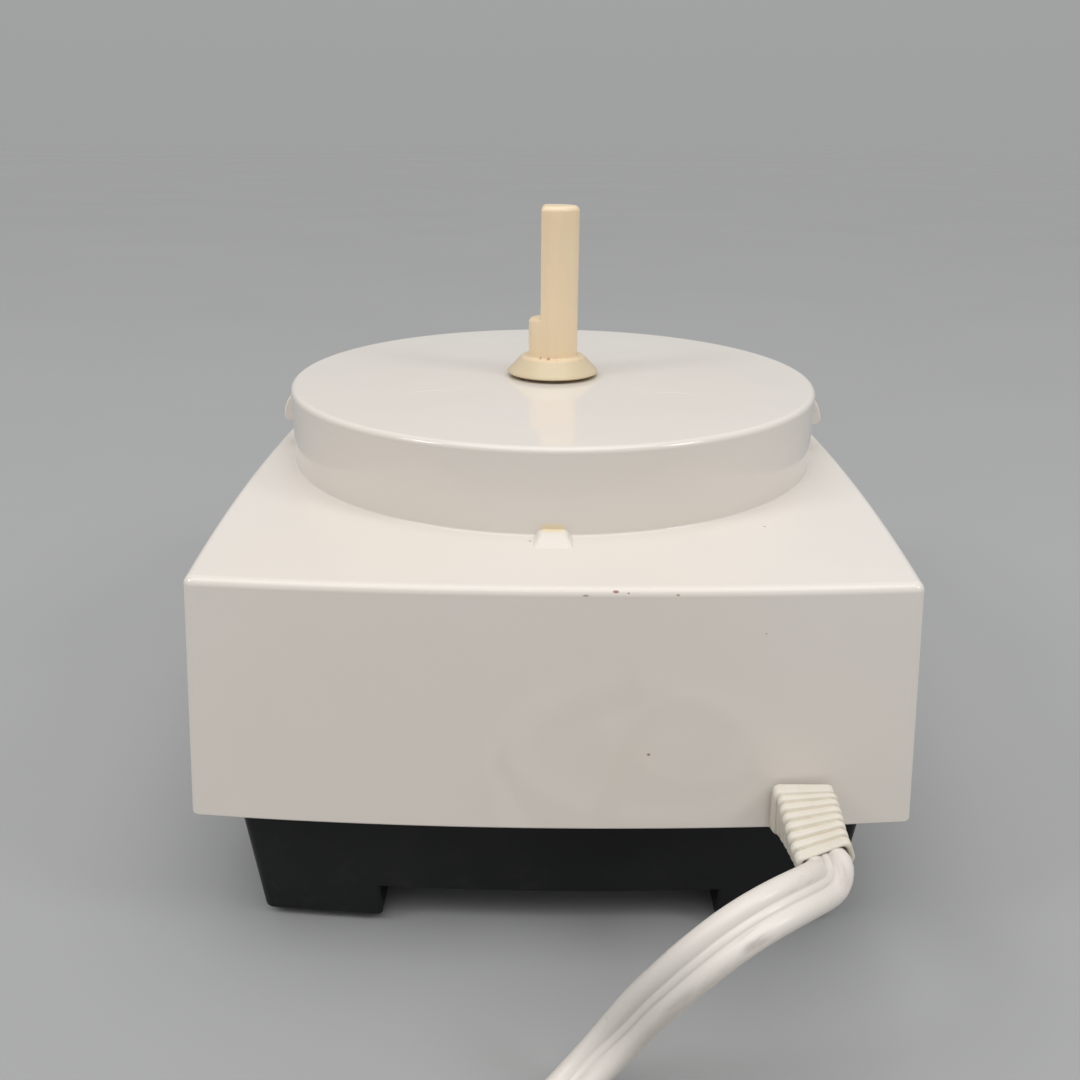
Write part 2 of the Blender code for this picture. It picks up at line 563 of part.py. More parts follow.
def make_drive_sheath():
    """Sleeve on the shaft: a skirt over the collar, a round foot, and above it a closed rod with a flat."""
    bore = SHAFT_RADIUS + GAP
    fillet = 1.5
    profile = [(0.0, SHAFT_Z[1] + GAP), (bore, SHAFT_Z[1] + GAP), (bore, 117.6), (SHEATH_NECK_RADIUS, 117.6),
               (SHEATH_NECK_RADIUS, 128.2), (11.2, 128.2), (12.7, SKIRT_Z), (SKIRT_RADIUS - 0.25, SKIRT_Z),
               (SKIRT_RADIUS, SKIRT_Z + 0.5), (9.9, 130.6), (9.3, 131.0), (SHEATH_RADIUS, 131.4)]
    for step in range(4):
        angle = math.pi / 6 * step
        profile.append((SHEATH_RADIUS - fillet * (1 - math.cos(angle)),
                        SHEATH_TOP_Z - fillet * (1 - math.sin(angle))))
    profile.append((0.0, SHEATH_TOP_Z))
    sheath = turned("drive_sheath", profile, steps=28)

    reach = SHEATH_RADIUS + 1
    bore_flat = box("bore_flat", (SHAFT_FLAT_X + GAP, bore + 0.8), (-3.4, 3.4),
                    (SHAFT_FLAT_Z + GAP, SHAFT_Z[1] + 1))
    combine(sheath, 'UNION', [bore_flat])
    rod_flat = box("rod_flat", (SHEATH_FLAT_X, reach), (-reach, reach), (SHEATH_FLAT_Z, SHEATH_TOP_Z + EXTRA))
    paint(combine(sheath, 'DIFFERENCE', [rod_flat]), *CREAM)


# ---------------------------------------------------------------- controls

def make_levers():
    """Rocking paddle, in its own frame: the pin's axis is X, the wall's slope is taken up by a tilt."""
    y, z = LEVER_PIVOT
    slope = math.atan(DRAFT / (DECK_Z - HOUSING_BOTTOM_Z))
    half = LEVER_HALF
    for name, x in (("on_lever", LEVER_X), ("pulse_lever", -LEVER_X)):
        lever = box(name, (-half, half), (-8.6, -5.2), (-34.0, 2.0), 1.2)
        ledge = box("thumb_ledge", (-half + 1.5, half - 1.5), (-10.8, -6.0), (-32.5, -29.0), 1.0)
        web = box("lever_web", (-12.0, 12.0), (-6.0, 0.0), (-3.0, 3.0))
        barrel = rod("lever_barrel", 3.2, (-13.0, 0, 0), (13.0, 0, 0), 16)
        tail = box("lever_tail", (-3.0, 3.0), (-6.0, 2.5), (-17.0, -11.0))
        bore = rod("lever_bore", LEVER_PIN_RADIUS + GAP, (-15.0, 0, 0), (15.0, 0, 0), 12)
        combine(lever, 'UNION', [web, barrel, ledge, tail])
        combine(lever, 'DIFFERENCE', [bore])
        for piece in (lever, web, barrel, tail, bore, ledge):
            piece.location = Vector((x, y, z)) * MM
            piece.rotation_euler.x = -slope
        paint(lever, *WHITE)
    paint(rod("lever_pin", LEVER_PIN_RADIUS, (-42.5, y, z), (42.5, y, z), 12), *STEEL)


def make_switches():
    back = BRACKET_Y[0] - GAP
    for word, x in (("on", LEVER_X), ("pulse", -LEVER_X)):
        body = box(f"{word}_switch", (x - 14, x + 14), (back - 16.0, back), (BUTTON_Z - 5, BUTTON_Z + 5), 0.6)
        way = rod("button_way", 2.3, (x, back - 17.0, BUTTON_Z), (x, -95.6, BUTTON_Z))
        paint(combine(body, 'DIFFERENCE', [way]), *BLACK_PLASTIC)
        button = rod(f"{word}_button", 2.0, (0, 0, 0), (0, BUTTON_Y[1] - BUTTON_Y[0], 0))
        button.location = Vector((x, BUTTON_Y[0], BUTTON_Z)) * MM
        paint(button, *GREY_PLASTIC)
    x = ROD_AT[0]
    body = box("interlock_switch", (x - 14, x + 14), (back - 10.0, back), (50.0, 65.8), 0.6)
    combine(body, 'UNION', [upright("interlock_button", 2.0, (65.0, 66.2), ROD_AT, 12)])
    paint(body, *BLACK_PLASTIC)


def make_switch_bracket():
    front, back = BRACKET_Y
    bracket = box("switch_bracket", (-44.0, 44.0), (front, back), (BRACKET_FOOT_Z[0], 82.0))
    wing = box("bracket_wing", (-74.0, -43.0), (front, back), (47.0, EAR_Z[1]))
    ear = box("bracket_ear", (-70.0, -50.0), (-96.0, back - 0.5), EAR_Z)
    foot = box("bracket_foot", (-40.0, 40.0), (front + 0.5, -69.0), BRACKET_FOOT_Z)
    combine(bracket, 'UNION', [wing, ear, foot])
    holes = [upright("foot_hole", 1.7, (BRACKET_FOOT_Z[0] - EXTRA, BRACKET_FOOT_Z[1] + EXTRA),
                     (side * BRACKET_SCREW_AT[0], BRACKET_SCREW_AT[1]), 12) for side in (-1, 1)]
    holes.append(upright("ear_hole", ROD_RADIUS + 0.5, (EAR_Z[0] - EXTRA, EAR_Z[1] + EXTRA), ROD_AT, 16))
    paint(combine(bracket, 'DIFFERENCE', holes), *STEEL)


def make_interlock():
    """Rod that the bowl pushes down against its spring, on to the switch below."""
    low, high = ROD_Z
    collar_low, collar_high = ROD_COLLAR_Z
    r = ROD_RADIUS
    profile = [(0, low), (r - 0.4, low), (r, low + 0.4), (r, collar_low), (r + 2, collar_low),
               (r + 2, collar_high), (r, collar_high), (r, high - 1.0), (r - 1.0, high), (0, high)]
    paint(turned("interlock_rod", profile, steps=14, at=ROD_AT), *WHITE)
    turns, per_turn = 5, 10
    bottom, top = EAR_Z[1] + 0.9, collar_low - 0.9
    points = []
    for step in range(turns * per_turn + 1):
        angle = 2 * math.pi * step / per_turn
        points.append((ROD_AT[0] + 4.2 * math.cos(angle), ROD_AT[1] + 4.2 * math.sin(angle),
                       bottom + (top - bottom) * step / (turns * per_turn)))
    paint(tube("interlock_spring", points, 0.4, 1), *STEEL)


def make_electrics():
    x, z = CAPACITOR_AT
    paint(rod("start_capacitor", CAPACITOR_RADIUS, (x, -30, z), (x, 30, z), 28), *GREY_PLASTIC)
    clip = rod("capacitor_clip", CAPACITOR_RADIUS + 1.8, (x, -6, z), (x, 6, z), 28)
    leg = box("clip_leg", (x - 4, x + 4), (-6, 6), (WELL_Z + GAP, z - CAPACITOR_RADIUS))
    way = rod("clip_way", CAPACITOR_RADIUS + GAP, (x, -8, z), (x, 8, z), 28)
    combine(clip, 'UNION', [leg])
    paint(combine(clip, 'DIFFERENCE', [way]), *STEEL)

    cx, cy = BOARD_CENTRE
    board = box("control_board", (cx - BOARD_HALF[0], cx + BOARD_HALF[0]),
                (cy - BOARD_HALF[1], cy + BOARD_HALF[1]), BOARD_Z)
    holes = [upright("board_hole", 1.7, (BOARD_Z[0] - EXTRA, BOARD_Z[1] + EXTRA), at, 12)
             for at in board_screws()]
    paint(combine(board, 'DIFFERENCE', holes), *BOARD_TAN)
    top = BOARD_Z[1] + GAP
    paint(box("relay", (-18.0, 10.0), (60.0, 76.0), (top, top + 20.0), 0.6), *BLUE_PLASTIC)
    block = box("terminal_block", (-24.0, 24.0), (80.5, 92.0), (top, top + 12.0), 0.5)
    ways = [box("wire_way", (-20.5 + 11 * i, -12.5 + 11 * i), (86.0, 93.0), (top + 3, top + 9)) for i in range(4)]
    paint(combine(block, 'DIFFERENCE', ways), *GREY_PLASTIC)


# ---------------------------------------------------------------- cord

def boot_frame(t):
    """Point and directions on the boot's centre line, t from 0 at the wall to 1 at its mouth."""
    a, b, c = (Vector(point) for point in BOOT_ROUTE)
    centre = a * (1 - t) ** 2 + b * 2 * t * (1 - t) + c * t * t
    ahead = ((b - a) * (1 - t) + (c - b) * t).normalized()
    level = ahead.cross(Vector((0, 0, 1))).normalized()
    upward = level.cross(ahead)
    turn = BOOT_ROLL * t
    across = level * math.cos(turn) - upward * math.sin(turn)
    return centre, across, level * math.sin(turn) + upward * math.cos(turn)


def make_strain_relief():
    """Ribbed boot: two plates at the wall, five ribs that fan as it twists, and a plain cuff."""
    steps = [(2.7, 0.0), (0.4, 0.9), (1.45, 0.15)]  # thickness of each step and how far it stands back
    for rib in range(BOOT_RIBS):
        steps += [(0.75, 0.8), (1.65, 0.1)]
    steps += [(0.5, 0.8), (2.3, 0.1)]
    total = sum(thickness for thickness, _ in steps)
    loops = []
    reached = 0.0
    for thickness, back in steps:
        for distance in (reached + 0.05, reached + thickness - 0.05):
            t = distance / total
            half = [h - loss * t - back for h, loss in zip(BOOT_PLATE_HALF, BOOT_NARROWING)]
            loops.append(rounded_loop(*boot_frame(t), half, 1.6))
        reached += thickness
    boot = loft("strain_relief", loops)
    x, z = BOOT_ROUTE[0][0], BOOT_ROUTE[0][2]
    neck = box("boot_neck", (x - 5.5, x + 5.5), (105.0, 115.0), (z - 5.9, 50.6))
    anchor = box("boot_anchor", (x - 8.0, x + 8.0), (103.0, 108.0), (z - 5.9, 52.0), 0.8)
    paint(combine(boot, 'UNION', [neck, anchor]), *IVORY)


def make_cord():
    half = CORD_THICKNESS / 2
    paint(tube("power_cord", smooth_curve(CORD_ROUTE, 2.2 * CORD_THICKNESS), half, 2), *CORD_WHITE)
    inner, outer = COIL_RADII
    low, high = COIL_Z
    profile = [(inner, low + 1), (inner + 1, low), (outer - 1, low), (outer, low + 1), (outer, high - 1),
               (outer - 1, high), (inner + 1, high), (inner, high - 1)]
    paint(turned("cord_coil", profile, closed=True, steps=36, at=COIL_CENTRE), *CORD_WHITE)
    paint(tube("plug_lead", smooth_curve(LEAD_ROUTE, 2 * CORD_THICKNESS), half, 2), *CORD_WHITE)

    x, y = COIL_CENTRE
    near, far = y + inner - 1.2, y + outer + 0.8
    tie = box("cord_tie", (x - 3, x + 3), (near, far), (0.0, high + 1.0), 0.25)
    way = box("tie_way", (x - 4, x + 4), (near + 0.7, far - 0.5), (low - GAP, high + GAP))
    paint(combine(tie, 'DIFFERENCE', [way]), *BLACK_PLASTIC)


def make_plug():
    """Flat two-blade plug, lying on its broad side."""
    ahead = Vector((math.cos(PLUG_HEADING), math.sin(PLUG_HEADING), 0.0))
    across = Vector((ahead.y, -ahead.x, 0.0))
    up = Vector((0, 0, 1))
    rear = Vector(LEAD_ROUTE[-1]) + ahead * GAP
    w, h = PLUG_HALF
    stations = ((0.0, 6.0, 3.8), (5.0, 6.8, 4.6), (11.0, w - 1.0, h - 0.6), (14.0, w, h),
                (PLUG_LENGTH - 2, w, h), (PLUG_LENGTH, w - 1.4, h - 1.4))
    loops = [rounded_loop(rear + ahead * s, across, up, (a, b), min(a, b) * 0.6) for s, a, b in stations]
    body = loft("plug_body", loops)
    sockets = []
    for number, side in enumerate((-1, 1), 1):
        height = 3.2 + 0.4 * side                  # the second blade is the wider one
        start = rear + ahead * (PLUG_LENGTH - 4) + across * side * BLADE_SPACING / 2
        stop = start + ahead * (4 + BLADE_LENGTH)
        blade_ends = [rounded_loop(point, across, up, (0.75, height), 0.5) for point in (start, stop)]
        blade = loft(f"plug_blade_{number}", blade_ends)
        paint(blade, *BRASS)
        way_ends = [rounded_loop(point, across, up, (0.75 + GAP, height + GAP), 0.5)
                    for point in (start - ahead * GAP, stop)]
        sockets.append(loft("blade_socket", way_ends))
    paint(combine(body, 'DIFFERENCE', sockets), *CORD_WHITE)


def main():
    clear_scene()
    make_housing()
    make_base_pan()
    make_foot_pads()
    make_fasteners()
    make_stator()
    make_end_bells()
    make_rotor_and_shaft()
    make_fan_and_slinger()
    make_drive_sheath()
    make_levers()
    make_switches()
    make_switch_bracket()
    make_interlock()
    make_electrics()
    make_strain_relief()
    make_cord()
    make_plug()


main()
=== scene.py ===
"""Looks of the food processor's motor base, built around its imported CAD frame.

Shapes are in millimetres, and the camera, lights and finishes in metres. The axes are the frame's own: +X to
the right seen from the front, +Y to the back where the cord leaves, +Z up, and the feet stand on z = 0.
"""
import json
import math

import bmesh
import bpy
from mathutils import Matrix, Vector
from mathutils.geometry import interpolate_bezier


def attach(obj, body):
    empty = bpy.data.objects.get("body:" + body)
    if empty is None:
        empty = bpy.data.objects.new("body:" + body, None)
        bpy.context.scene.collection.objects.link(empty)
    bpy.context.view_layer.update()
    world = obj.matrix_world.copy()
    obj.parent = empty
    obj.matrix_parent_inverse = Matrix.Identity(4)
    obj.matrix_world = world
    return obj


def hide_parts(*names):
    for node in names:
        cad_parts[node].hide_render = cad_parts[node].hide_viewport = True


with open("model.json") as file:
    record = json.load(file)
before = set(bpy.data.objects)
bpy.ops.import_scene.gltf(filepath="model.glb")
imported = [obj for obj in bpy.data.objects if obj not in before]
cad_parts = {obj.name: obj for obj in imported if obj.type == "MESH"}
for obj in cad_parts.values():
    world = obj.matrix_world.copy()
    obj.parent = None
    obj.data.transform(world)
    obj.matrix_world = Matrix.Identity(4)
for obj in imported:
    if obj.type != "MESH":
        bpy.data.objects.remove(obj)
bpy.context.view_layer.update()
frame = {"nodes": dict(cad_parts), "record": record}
MM = 0.001
ALONG_X, ALONG_Y, ALONG_Z = Vector((1, 0, 0)), Vector((0, 1, 0)), Vector((0, 0, 1))


# ---- camera

CAMERA_AT = (0.00223, 0.30988, 0.19366)
PITCH, YAW, ROLL = math.radians(21.96), math.radians(-0.24), math.radians(0.44)
FOCAL_SHARE = 1000.0 / 1080.0  # focal length over the width of the square picture
SENSOR = 36.0


def make_camera():
    """Camera behind the object, looking along -Y and down."""
    ahead = Vector((-math.sin(YAW) * math.cos(PITCH), -math.cos(YAW) * math.cos(PITCH), -math.sin(PITCH)))
    level = Vector((-math.cos(YAW), math.sin(YAW), 0.0))
    upward = level.cross(ahead)
    right = math.cos(ROLL) * level + math.sin(ROLL) * upward
    up = math.cos(ROLL) * upward - math.sin(ROLL) * level
    data = bpy.data.cameras.new("camera")
    data.sensor_width = SENSOR
    data.lens = SENSOR * FOCAL_SHARE
    data.clip_start = 0.01
    data.clip_end = 50.0
    camera = bpy.data.objects.new("camera", data)
    bpy.context.collection.objects.link(camera)
    turn = Matrix((right, up, -ahead)).transposed().to_4x4()
    camera.matrix_world = Matrix.Translation(CAMERA_AT) @ turn
    bpy.context.scene.camera = camera


# ---- helpers for shapes

def smooth(mesh, angle=35.0):
    """Smooth shading but for edges sharper than the angle."""
    mesh.shade_smooth()
    mesh.set_sharp_from_angle(angle=math.radians(angle))


def link(name, mesh, smooth_angle=35.0):
    smooth(mesh, smooth_angle)
    thing = bpy.data.objects.new(name, mesh)
    bpy.context.collection.objects.link(thing)
    return thing


def new_object(name, bm, smooth_angle=35.0):
    """Turn a bmesh in millimetres into an object in metres."""
    bmesh.ops.scale(bm, vec=(MM, MM, MM), verts=bm.verts)
    bmesh.ops.recalc_face_normals(bm, faces=bm.faces)
    mesh = bpy.data.meshes.new(name)
    bm.to_mesh(mesh)
    bm.free()
    return link(name, mesh, smooth_angle)


def skin(bm, loops, ring=False):
    """Quads through loops of equal length, with caps at the ends or joined into a ring."""
    rows = [[bm.verts.new(point) for point in loop] for loop in loops]
    pairs = list(zip(rows, rows[1:]))
    if ring:
        pairs.append((rows[-1], rows[0]))
    for low, high in pairs:
        for i in range(len(low)):
            bm.faces.new((low[i - 1], low[i], high[i], high[i - 1]))
    if not ring:
        bm.faces.new(rows[0])
        bm.faces.new(rows[-1])
    return rows


def loft(name, loops, ring=False, smooth_angle=35.0):
    bm = bmesh.new()
    skin(bm, loops, ring)
    return new_object(name, bm, smooth_angle)


def circle(radius, z, steps, at=(0.0, 0.0)):
    return [(at[0] + radius * math.cos(a), at[1] + radius * math.sin(a), z)
            for a in (2 * math.pi * i / steps for i in range(steps))]


def arc(centre, radius, start, stop, steps):
    """Points (u, v) on an arc between two angles in degrees."""
    angles = [math.radians(start + (stop - start) * i / steps) for i in range(steps + 1)]
    return [(centre[0] + radius * math.cos(a), centre[1] + radius * math.sin(a)) for a in angles]


def rounded_box(name, x, y, z, radius, segments=4):
    """A box between two x, two y and two z values with all edges rounded."""
    bm = bmesh.new()
    bmesh.ops.create_cube(bm, size=1.0)
    spans = (x[1] - x[0], y[1] - y[0], z[1] - z[0])
    middle = (sum(x) / 2, sum(y) / 2, sum(z) / 2)
    bmesh.ops.transform(bm, matrix=Matrix.LocRotScale(middle, None, spans), verts=bm.verts)
    if radius:
        bmesh.ops.bevel(bm, geom=bm.edges[:], offset=radius, segments=segments, profile=0.5, affect='EDGES')
    return new_object(name, bm)


def upright(name, radius, z, at, steps=48):
    return loft(name, [circle(radius, z[0], steps, at), circle(radius, z[1], steps, at)])


def cut(thing, tools):
    """Take the tools out of a piece for good, then delete them."""
    for tool in tools:
        change = thing.modifiers.new("cut", 'BOOLEAN')
        change.operation = 'DIFFERENCE'
        change.object = tool
        change.solver = 'EXACT'
    bake(thing)
    for tool in tools:
        bpy.data.objects.remove(tool)
    return thing


def bake(thing):
    """Replace a piece's mesh by what its modifiers make of it."""
    graph = bpy.context.evaluated_depsgraph_get()
    graph.update()
    mesh = bpy.data.meshes.new_from_object(thing.evaluated_get(graph), depsgraph=graph)
    thing.modifiers.clear()
    old, thing.data = thing.data, mesh
    bpy.data.meshes.remove(old)
    mesh.name = thing.name
    smooth(mesh)


def even_normals(thing):
    """Let large faces set the shading, so flat faces stay flat beside small rounded ones."""
    change = thing.modifiers.new("normals", 'WEIGHTED_NORMAL')
    change.keep_sharp = True
    change.weight = 50


def join(name, things):
    """One piece made of several closed bodies."""
    bm = bmesh.new()
    for thing in things:
        start = len(bm.verts)
        bm.from_mesh(thing.data)
        bm.verts.ensure_lookup_table()
        bmesh.ops.transform(bm, matrix=thing.matrix_world, verts=bm.verts[start:])
        bpy.data.objects.remove(thing)
    mesh = bpy.data.meshes.new(name)
    bm.to_mesh(mesh)
    bm.free()
    return link(name, mesh)


def rounded_loop(centre, across, up, half, corner, steps):
    """A rounded rectangle in the plane of two directions."""
    points = []
    for quarter in range(4):
        sx = 1 if quarter in (0, 3) else -1
        sy = 1 if quarter in (0, 1) else -1
        for i in range(steps + 1):
            angle = math.pi / 2 * (quarter + i / steps)
            points.append(centre + across * (sx * (half[0] - corner) + corner * math.cos(angle))
                          + up * (sy * (half[1] - corner) + corner * math.sin(angle)))
    return points


def mark(thing, name, values):
    """Store a number at each vertex for a finish to read."""
    layer = thing.data.attributes.new(name, 'FLOAT', 'POINT')
    layer.data.foreach_set("value", values)


def four_ways(at):
    return [(x * at[0], y * at[1]) for x in (-1, 1) for y in (-1, 1)]


# ---- cord

BOOT_ROUTE = ((-59.0, 113.9, 47.4), (-59.0, 123.6, 47.7), (-60.1, 133.2, 47.3))
BOOT_ROLL = math.radians(21.5)  # the boot is twisted, so its mouth leans
BOOT_PLATE_HALF = (7.2, 6.4)
BOOT_NARROWING = (0.7, 3.2)     # how much its half width and half height lose from the wall to the mouth
BOOT_RIBS = 5
CORD_ROUTE = (
    (-60.1, 134.8, 47.7), (-59.2, 138.4, 48.8), (-57.0, 143.0, 50.5), (-53.6, 147.3, 52.4),
    (-49.4, 151.4, 54.0), (-44.6, 155.2, 54.8), (-39.4, 158.3, 54.2), (-34.2, 160.5, 52.0),
    (-29.6, 161.6, 48.4), (-25.8, 161.5, 43.9), (-22.8, 160.4, 38.8), (-20.4, 158.7, 33.6),
    (-18.4, 156.8, 28.4), (-16.3, 155.2, 23.1), (-13.8, 154.3, 18.0), (-10.6, 154.5, 13.3),
    (-6.7, 155.9, 9.2), (-2.2, 158.8, 6.0), (2.6, 163.2, 3.9), (7.4, 169.8, 2.9),
    (12.2, 178.8, 2.8), (16.6, 189.2, 3.0), (20.8, 200.6, 3.8), (24.4, 212.0, 5.2),
)
COIL_CENTRE = (-41.0, 229.0)
COIL_Z = 5.9                   # middle of the lead, which stands on its edge in the coil
COIL_JOIN = (-0.5, 61.0)       # angle in degrees where the spiral begins, and its radius there
COIL_PITCH = 5.4
COIL_END = 900.0               # angle where the lead turns inwards to the plug
COIL_STEP = 15
LEAD_ROUTE = (
    (-70.4, 201.8, 6.4), (-65.2, 196.6, 6.9), (-58.4, 193.6, 7.2), (-50.9, 193.9, 7.3), (-44.2, 197.6, 7.4),
    (-39.4, 203.8, 7.4), (-36.6, 211.6, 7.4),
)
LEAD_WIDTH = 10.2
LEAD_THICKNESS = 5.0
CORD_STEP = 2.2
CORD_START = 0.86               # share of the boot's length where the lead begins inside it
MOUTH_SQUEEZE = 0.86            # the lead's size there, until it has grown to its own
MOUTH_REACH = 4.5
LIFT_MARGIN = 0.35              # what is left under it as it comes down
TURN_OUT = (2.0, 15.0)          # stretches of the lead where its broad side turns outwards,
LIE_DOWN = (75.0, 105.0)        # then upwards to lie on the table,
STAND_UP = (114.0, 168.0)       # then on to its edge for the coil


def catmull(route, per_leg):
    """Points on a smooth curve through the route's own points."""
    ends = [2 * route[0] - route[1]] + route + [2 * route[-1] - route[-2]]
    fine = []
    for before, start, stop, after in zip(ends, ends[1:], ends[2:], ends[3:]):
        fine += interpolate_bezier(start, start + (stop - before) / 6, stop - (after - start) / 6, stop,
                                   per_leg + 1)[:-1]
    return fine + [route[-1]]


def spaced(points, spacing):
    """The same line with points an even distance apart."""
    total = sum((b - a).length for a, b in zip(points, points[1:]))
    count = max(2, round(total / spacing))
    step = total / count
    out, walked, target = [points[0]], 0.0, step
    for a, b in zip(points, points[1:]):
        leg = (b - a).length
        while walked + leg >= target - 1e-9 and len(out) < count:
            out.append(a.lerp(b, (target - walked) / leg))
            target += step
        walked += leg
    return out + [points[-1]]


def cord_route():
    """Every point the cord passes: out of the boot, down to the table, round the coil and to the plug."""
    start, first = COIL_JOIN
    route = [Vector(point) for point in CORD_ROUTE]
    angle = start
    while angle < COIL_END - 1:
        radius = first - COIL_PITCH * (angle - start) / 360
        x, y = radius * math.cos(math.radians(angle)), radius * math.sin(math.radians(angle))
        route.append(Vector((COIL_CENTRE[0] + x, COIL_CENTRE[1] + y, COIL_Z)))
        angle += COIL_STEP
    return route + [Vector(point) for point in LEAD_ROUTE]


def lead_section():
    """Outline of the two-core lead: two round lobes, with a narrow web sunk between them on both faces."""
    steps = 9
    lobe = LEAD_THICKNESS / 2
    reach = LEAD_WIDTH / 2 - lobe
    half = []
    for i in range(steps + 1):  # a lobe's outer quarter, and on to the groove beside the web
        angle = math.radians(122 * i / steps)
        half.append((reach + lobe * math.cos(angle), lobe * math.sin(angle)))
    half += [(1.02, 1.94), (0.84, 1.88), (0.66, 1.94), (0.48, 2.04), (0.22, 2.1)]
    top = half + [(-u, v) for u, v in reversed(half)]
    return top + [(u, -v) for u, v in reversed(top[1:-1])]


def sweep(name, points, faces, section, swell):
    """Carry a section along points; faces gives the way its broad side looks, and swell its size."""
    loops = []
    for i, (point, face) in enumerate(zip(points, faces)):
        ahead = (points[min(i + 1, len(points) - 1)] - points[max(i - 1, 0)]).normalized()
        out = (face - ahead * face.dot(ahead)).normalized()
        across = out.cross(ahead)
        grow = swell(i / (len(points) - 1))
        loops.append([point + (across * u + out * v) * grow for u, v in section])
    return loft(name, loops, smooth_angle=50.0)


def boot_frame(t):
    """Point and directions on the boot's centre line, t from 0 at the wall to 1 at its mouth."""
    a, b, c = (Vector(point) for point in BOOT_ROUTE)
    centre = a * (1 - t) ** 2 + b * 2 * t * (1 - t) + c * t * t
    ahead = ((b - a) * (1 - t) + (c - b) * t).normalized()
    level = ahead.cross(ALONG_Z).normalized()
    upward = level.cross(ahead)
    turn = BOOT_ROLL * t
    across = level * math.cos(turn) - upward * math.sin(turn)
    return centre, across, level * math.sin(turn) + upward * math.cos(turn)


def ease(value, low, high):
    """0 below low, 1 above high, and a smooth step between."""
    t = min(max((value - low) / (high - low), 0.0), 1.0)
    return t * t * (3 - 2 * t)


def make_cord():
    """The whole lead: flat in the boot, broad side out, flat on the table, then on its edge in the coil."""
    line = spaced(catmull([boot_frame(CORD_START)[0]] + cord_route(), 8), CORD_STEP)
    centre = Vector((*COIL_CENTRE, 0.0))
    eye = Vector(CAMERA_AT) / MM
    mouth_up = boot_frame(1.0)[2]
    faces = []
    walked = 0.0
    for i, point in enumerate(line):
        walked += (point - line[i - 1]).length if i else 0.0
        outward = (point - centre).to_2d().to_3d().normalized()
        face = mouth_up.lerp((eye - point).normalized(), ease(walked, *TURN_OUT))
        face = face.normalized().lerp(ALONG_Z, ease(walked, *LIE_DOWN))
        edge = ease(walked, *STAND_UP)
        faces.append(face.normalized().lerp(outward, edge))
        turned_by = edge * math.pi / 2
        lift = math.hypot(LEAD_WIDTH / 2 * math.sin(turned_by), LEAD_THICKNESS / 2 * math.cos(turned_by))
        if LIE_DOWN[1] < walked < STAND_UP[1]:
            point.z = max(point.z, lift + LIFT_MARGIN)

    def swell(share):
        return MOUTH_SQUEEZE + (1 - MOUTH_SQUEEZE) * ease(share * walked, 0.0, MOUTH_REACH)

    section = lead_section()
    cord = sweep("cord", line, faces, section, swell)
    # The groove mark is where the finish paints shade along the grooves beside the web.
    groove = [1.0 if 0.75 < abs(u) < 0.95 else 0.35 if 0.6 < abs(u) < 1.1 else 0.0 for u, v in section]
    mark(cord, "groove", groove * len(line))
    mark(cord, "along", [i * CORD_STEP * MM for i in range(len(line)) for _ in section])
    mark(cord, "round", [j / len(section) for _ in line for j in range(len(section))])
    return cord, line


# ---- housing and base

DECK_Z = 102.0
HOUSING_BOTTOM_Z = 40.8
DECK_HALF = (83.2, 107.2)
BOW = (5.1, 3.7)
DRAFT = 4.0
CORNER = 2.6
DECK_FILLET = 2.0
WALL = 2.6
SEAT_Z = 124.7
SEAT_RADIUS = 80.0
SEAT_FILLET = 1.6
SEAT_FOOT_FILLET = 0.6
SEAT_CEILING_Z = 121.7
COLLAR_RADIUS = 9.6
COLLAR_Z = 127.9
SHAFT_HOLE_RADIUS = 7.5
MARK_AT = (34.5, 30.5)
MARK_RADIUS = 8.0
MARK_DEPTH = 0.2
PAD_Z = 2.3
PAN_HALF = (75.75, 99.75)
PAN_DRAFT = 3.05
TUNNEL_HALF = 44.0
TUNNEL_Z = 13.1
FLOOR_Z = 15.6
FLANGE_Z = (42.0, 45.0)
BASE_SCREW_AT = (62.0, 64.0)
PAD_CENTRE = (60.0, 85.0)
PAD_HALF = (13.2, 12.0)
PAD_CORNER = 3.2
LEVER_PIVOT = (-104.5, 90.0)   # y and z of the pin
LEVER_X = 21.0
LEVER_HALF = 15.0
WINDOW_GAP = 0.9
WINDOW_Z = (54.5, 93.5)
ROD_AT = (-60.0, -89.0)
ROD_RADIUS = 3.0
ROD_GAP = 0.35


def bowed_outline(half, corner, z):
    """Plan outline, anticlockwise: four shallow bows joined by round corners."""
    side_steps, corner_steps = 60, 8
    points = []
    sides = ((half[0], half[1], BOW[0]), (half[1], half[0], BOW[1])) * 2
    for quarter, (reach, width, swell) in enumerate(sides):
        turn = Matrix.Rotation(quarter * math.pi / 2, 2)
        flat = width - corner
        for i in range(side_steps + 1):
            t = 2 * i / side_steps - 1
            points.append(turn @ Vector((reach + swell * (1 - t * t), flat * t)))
        for i in range(1, corner_steps):
            angle = math.pi / 2 * i / corner_steps
            points.append(turn @ Vector((reach - corner + corner * math.cos(angle),
                                         flat + corner * math.sin(angle))))
    return [(point.x, point.y, z) for point in points]


def housing_half(z, inset=0.0):
    grow = DRAFT * (DECK_Z - z) / (DECK_Z - HOUSING_BOTTOM_Z) - inset
    return DECK_HALF[0] + grow, DECK_HALF[1] + grow


def pan_half(z, inset=0.0):
    grow = PAN_DRAFT * (z - PAD_Z) / (HOUSING_BOTTOM_Z - PAD_Z) - inset
    return PAN_HALF[0] + grow, PAN_HALF[1] + grow


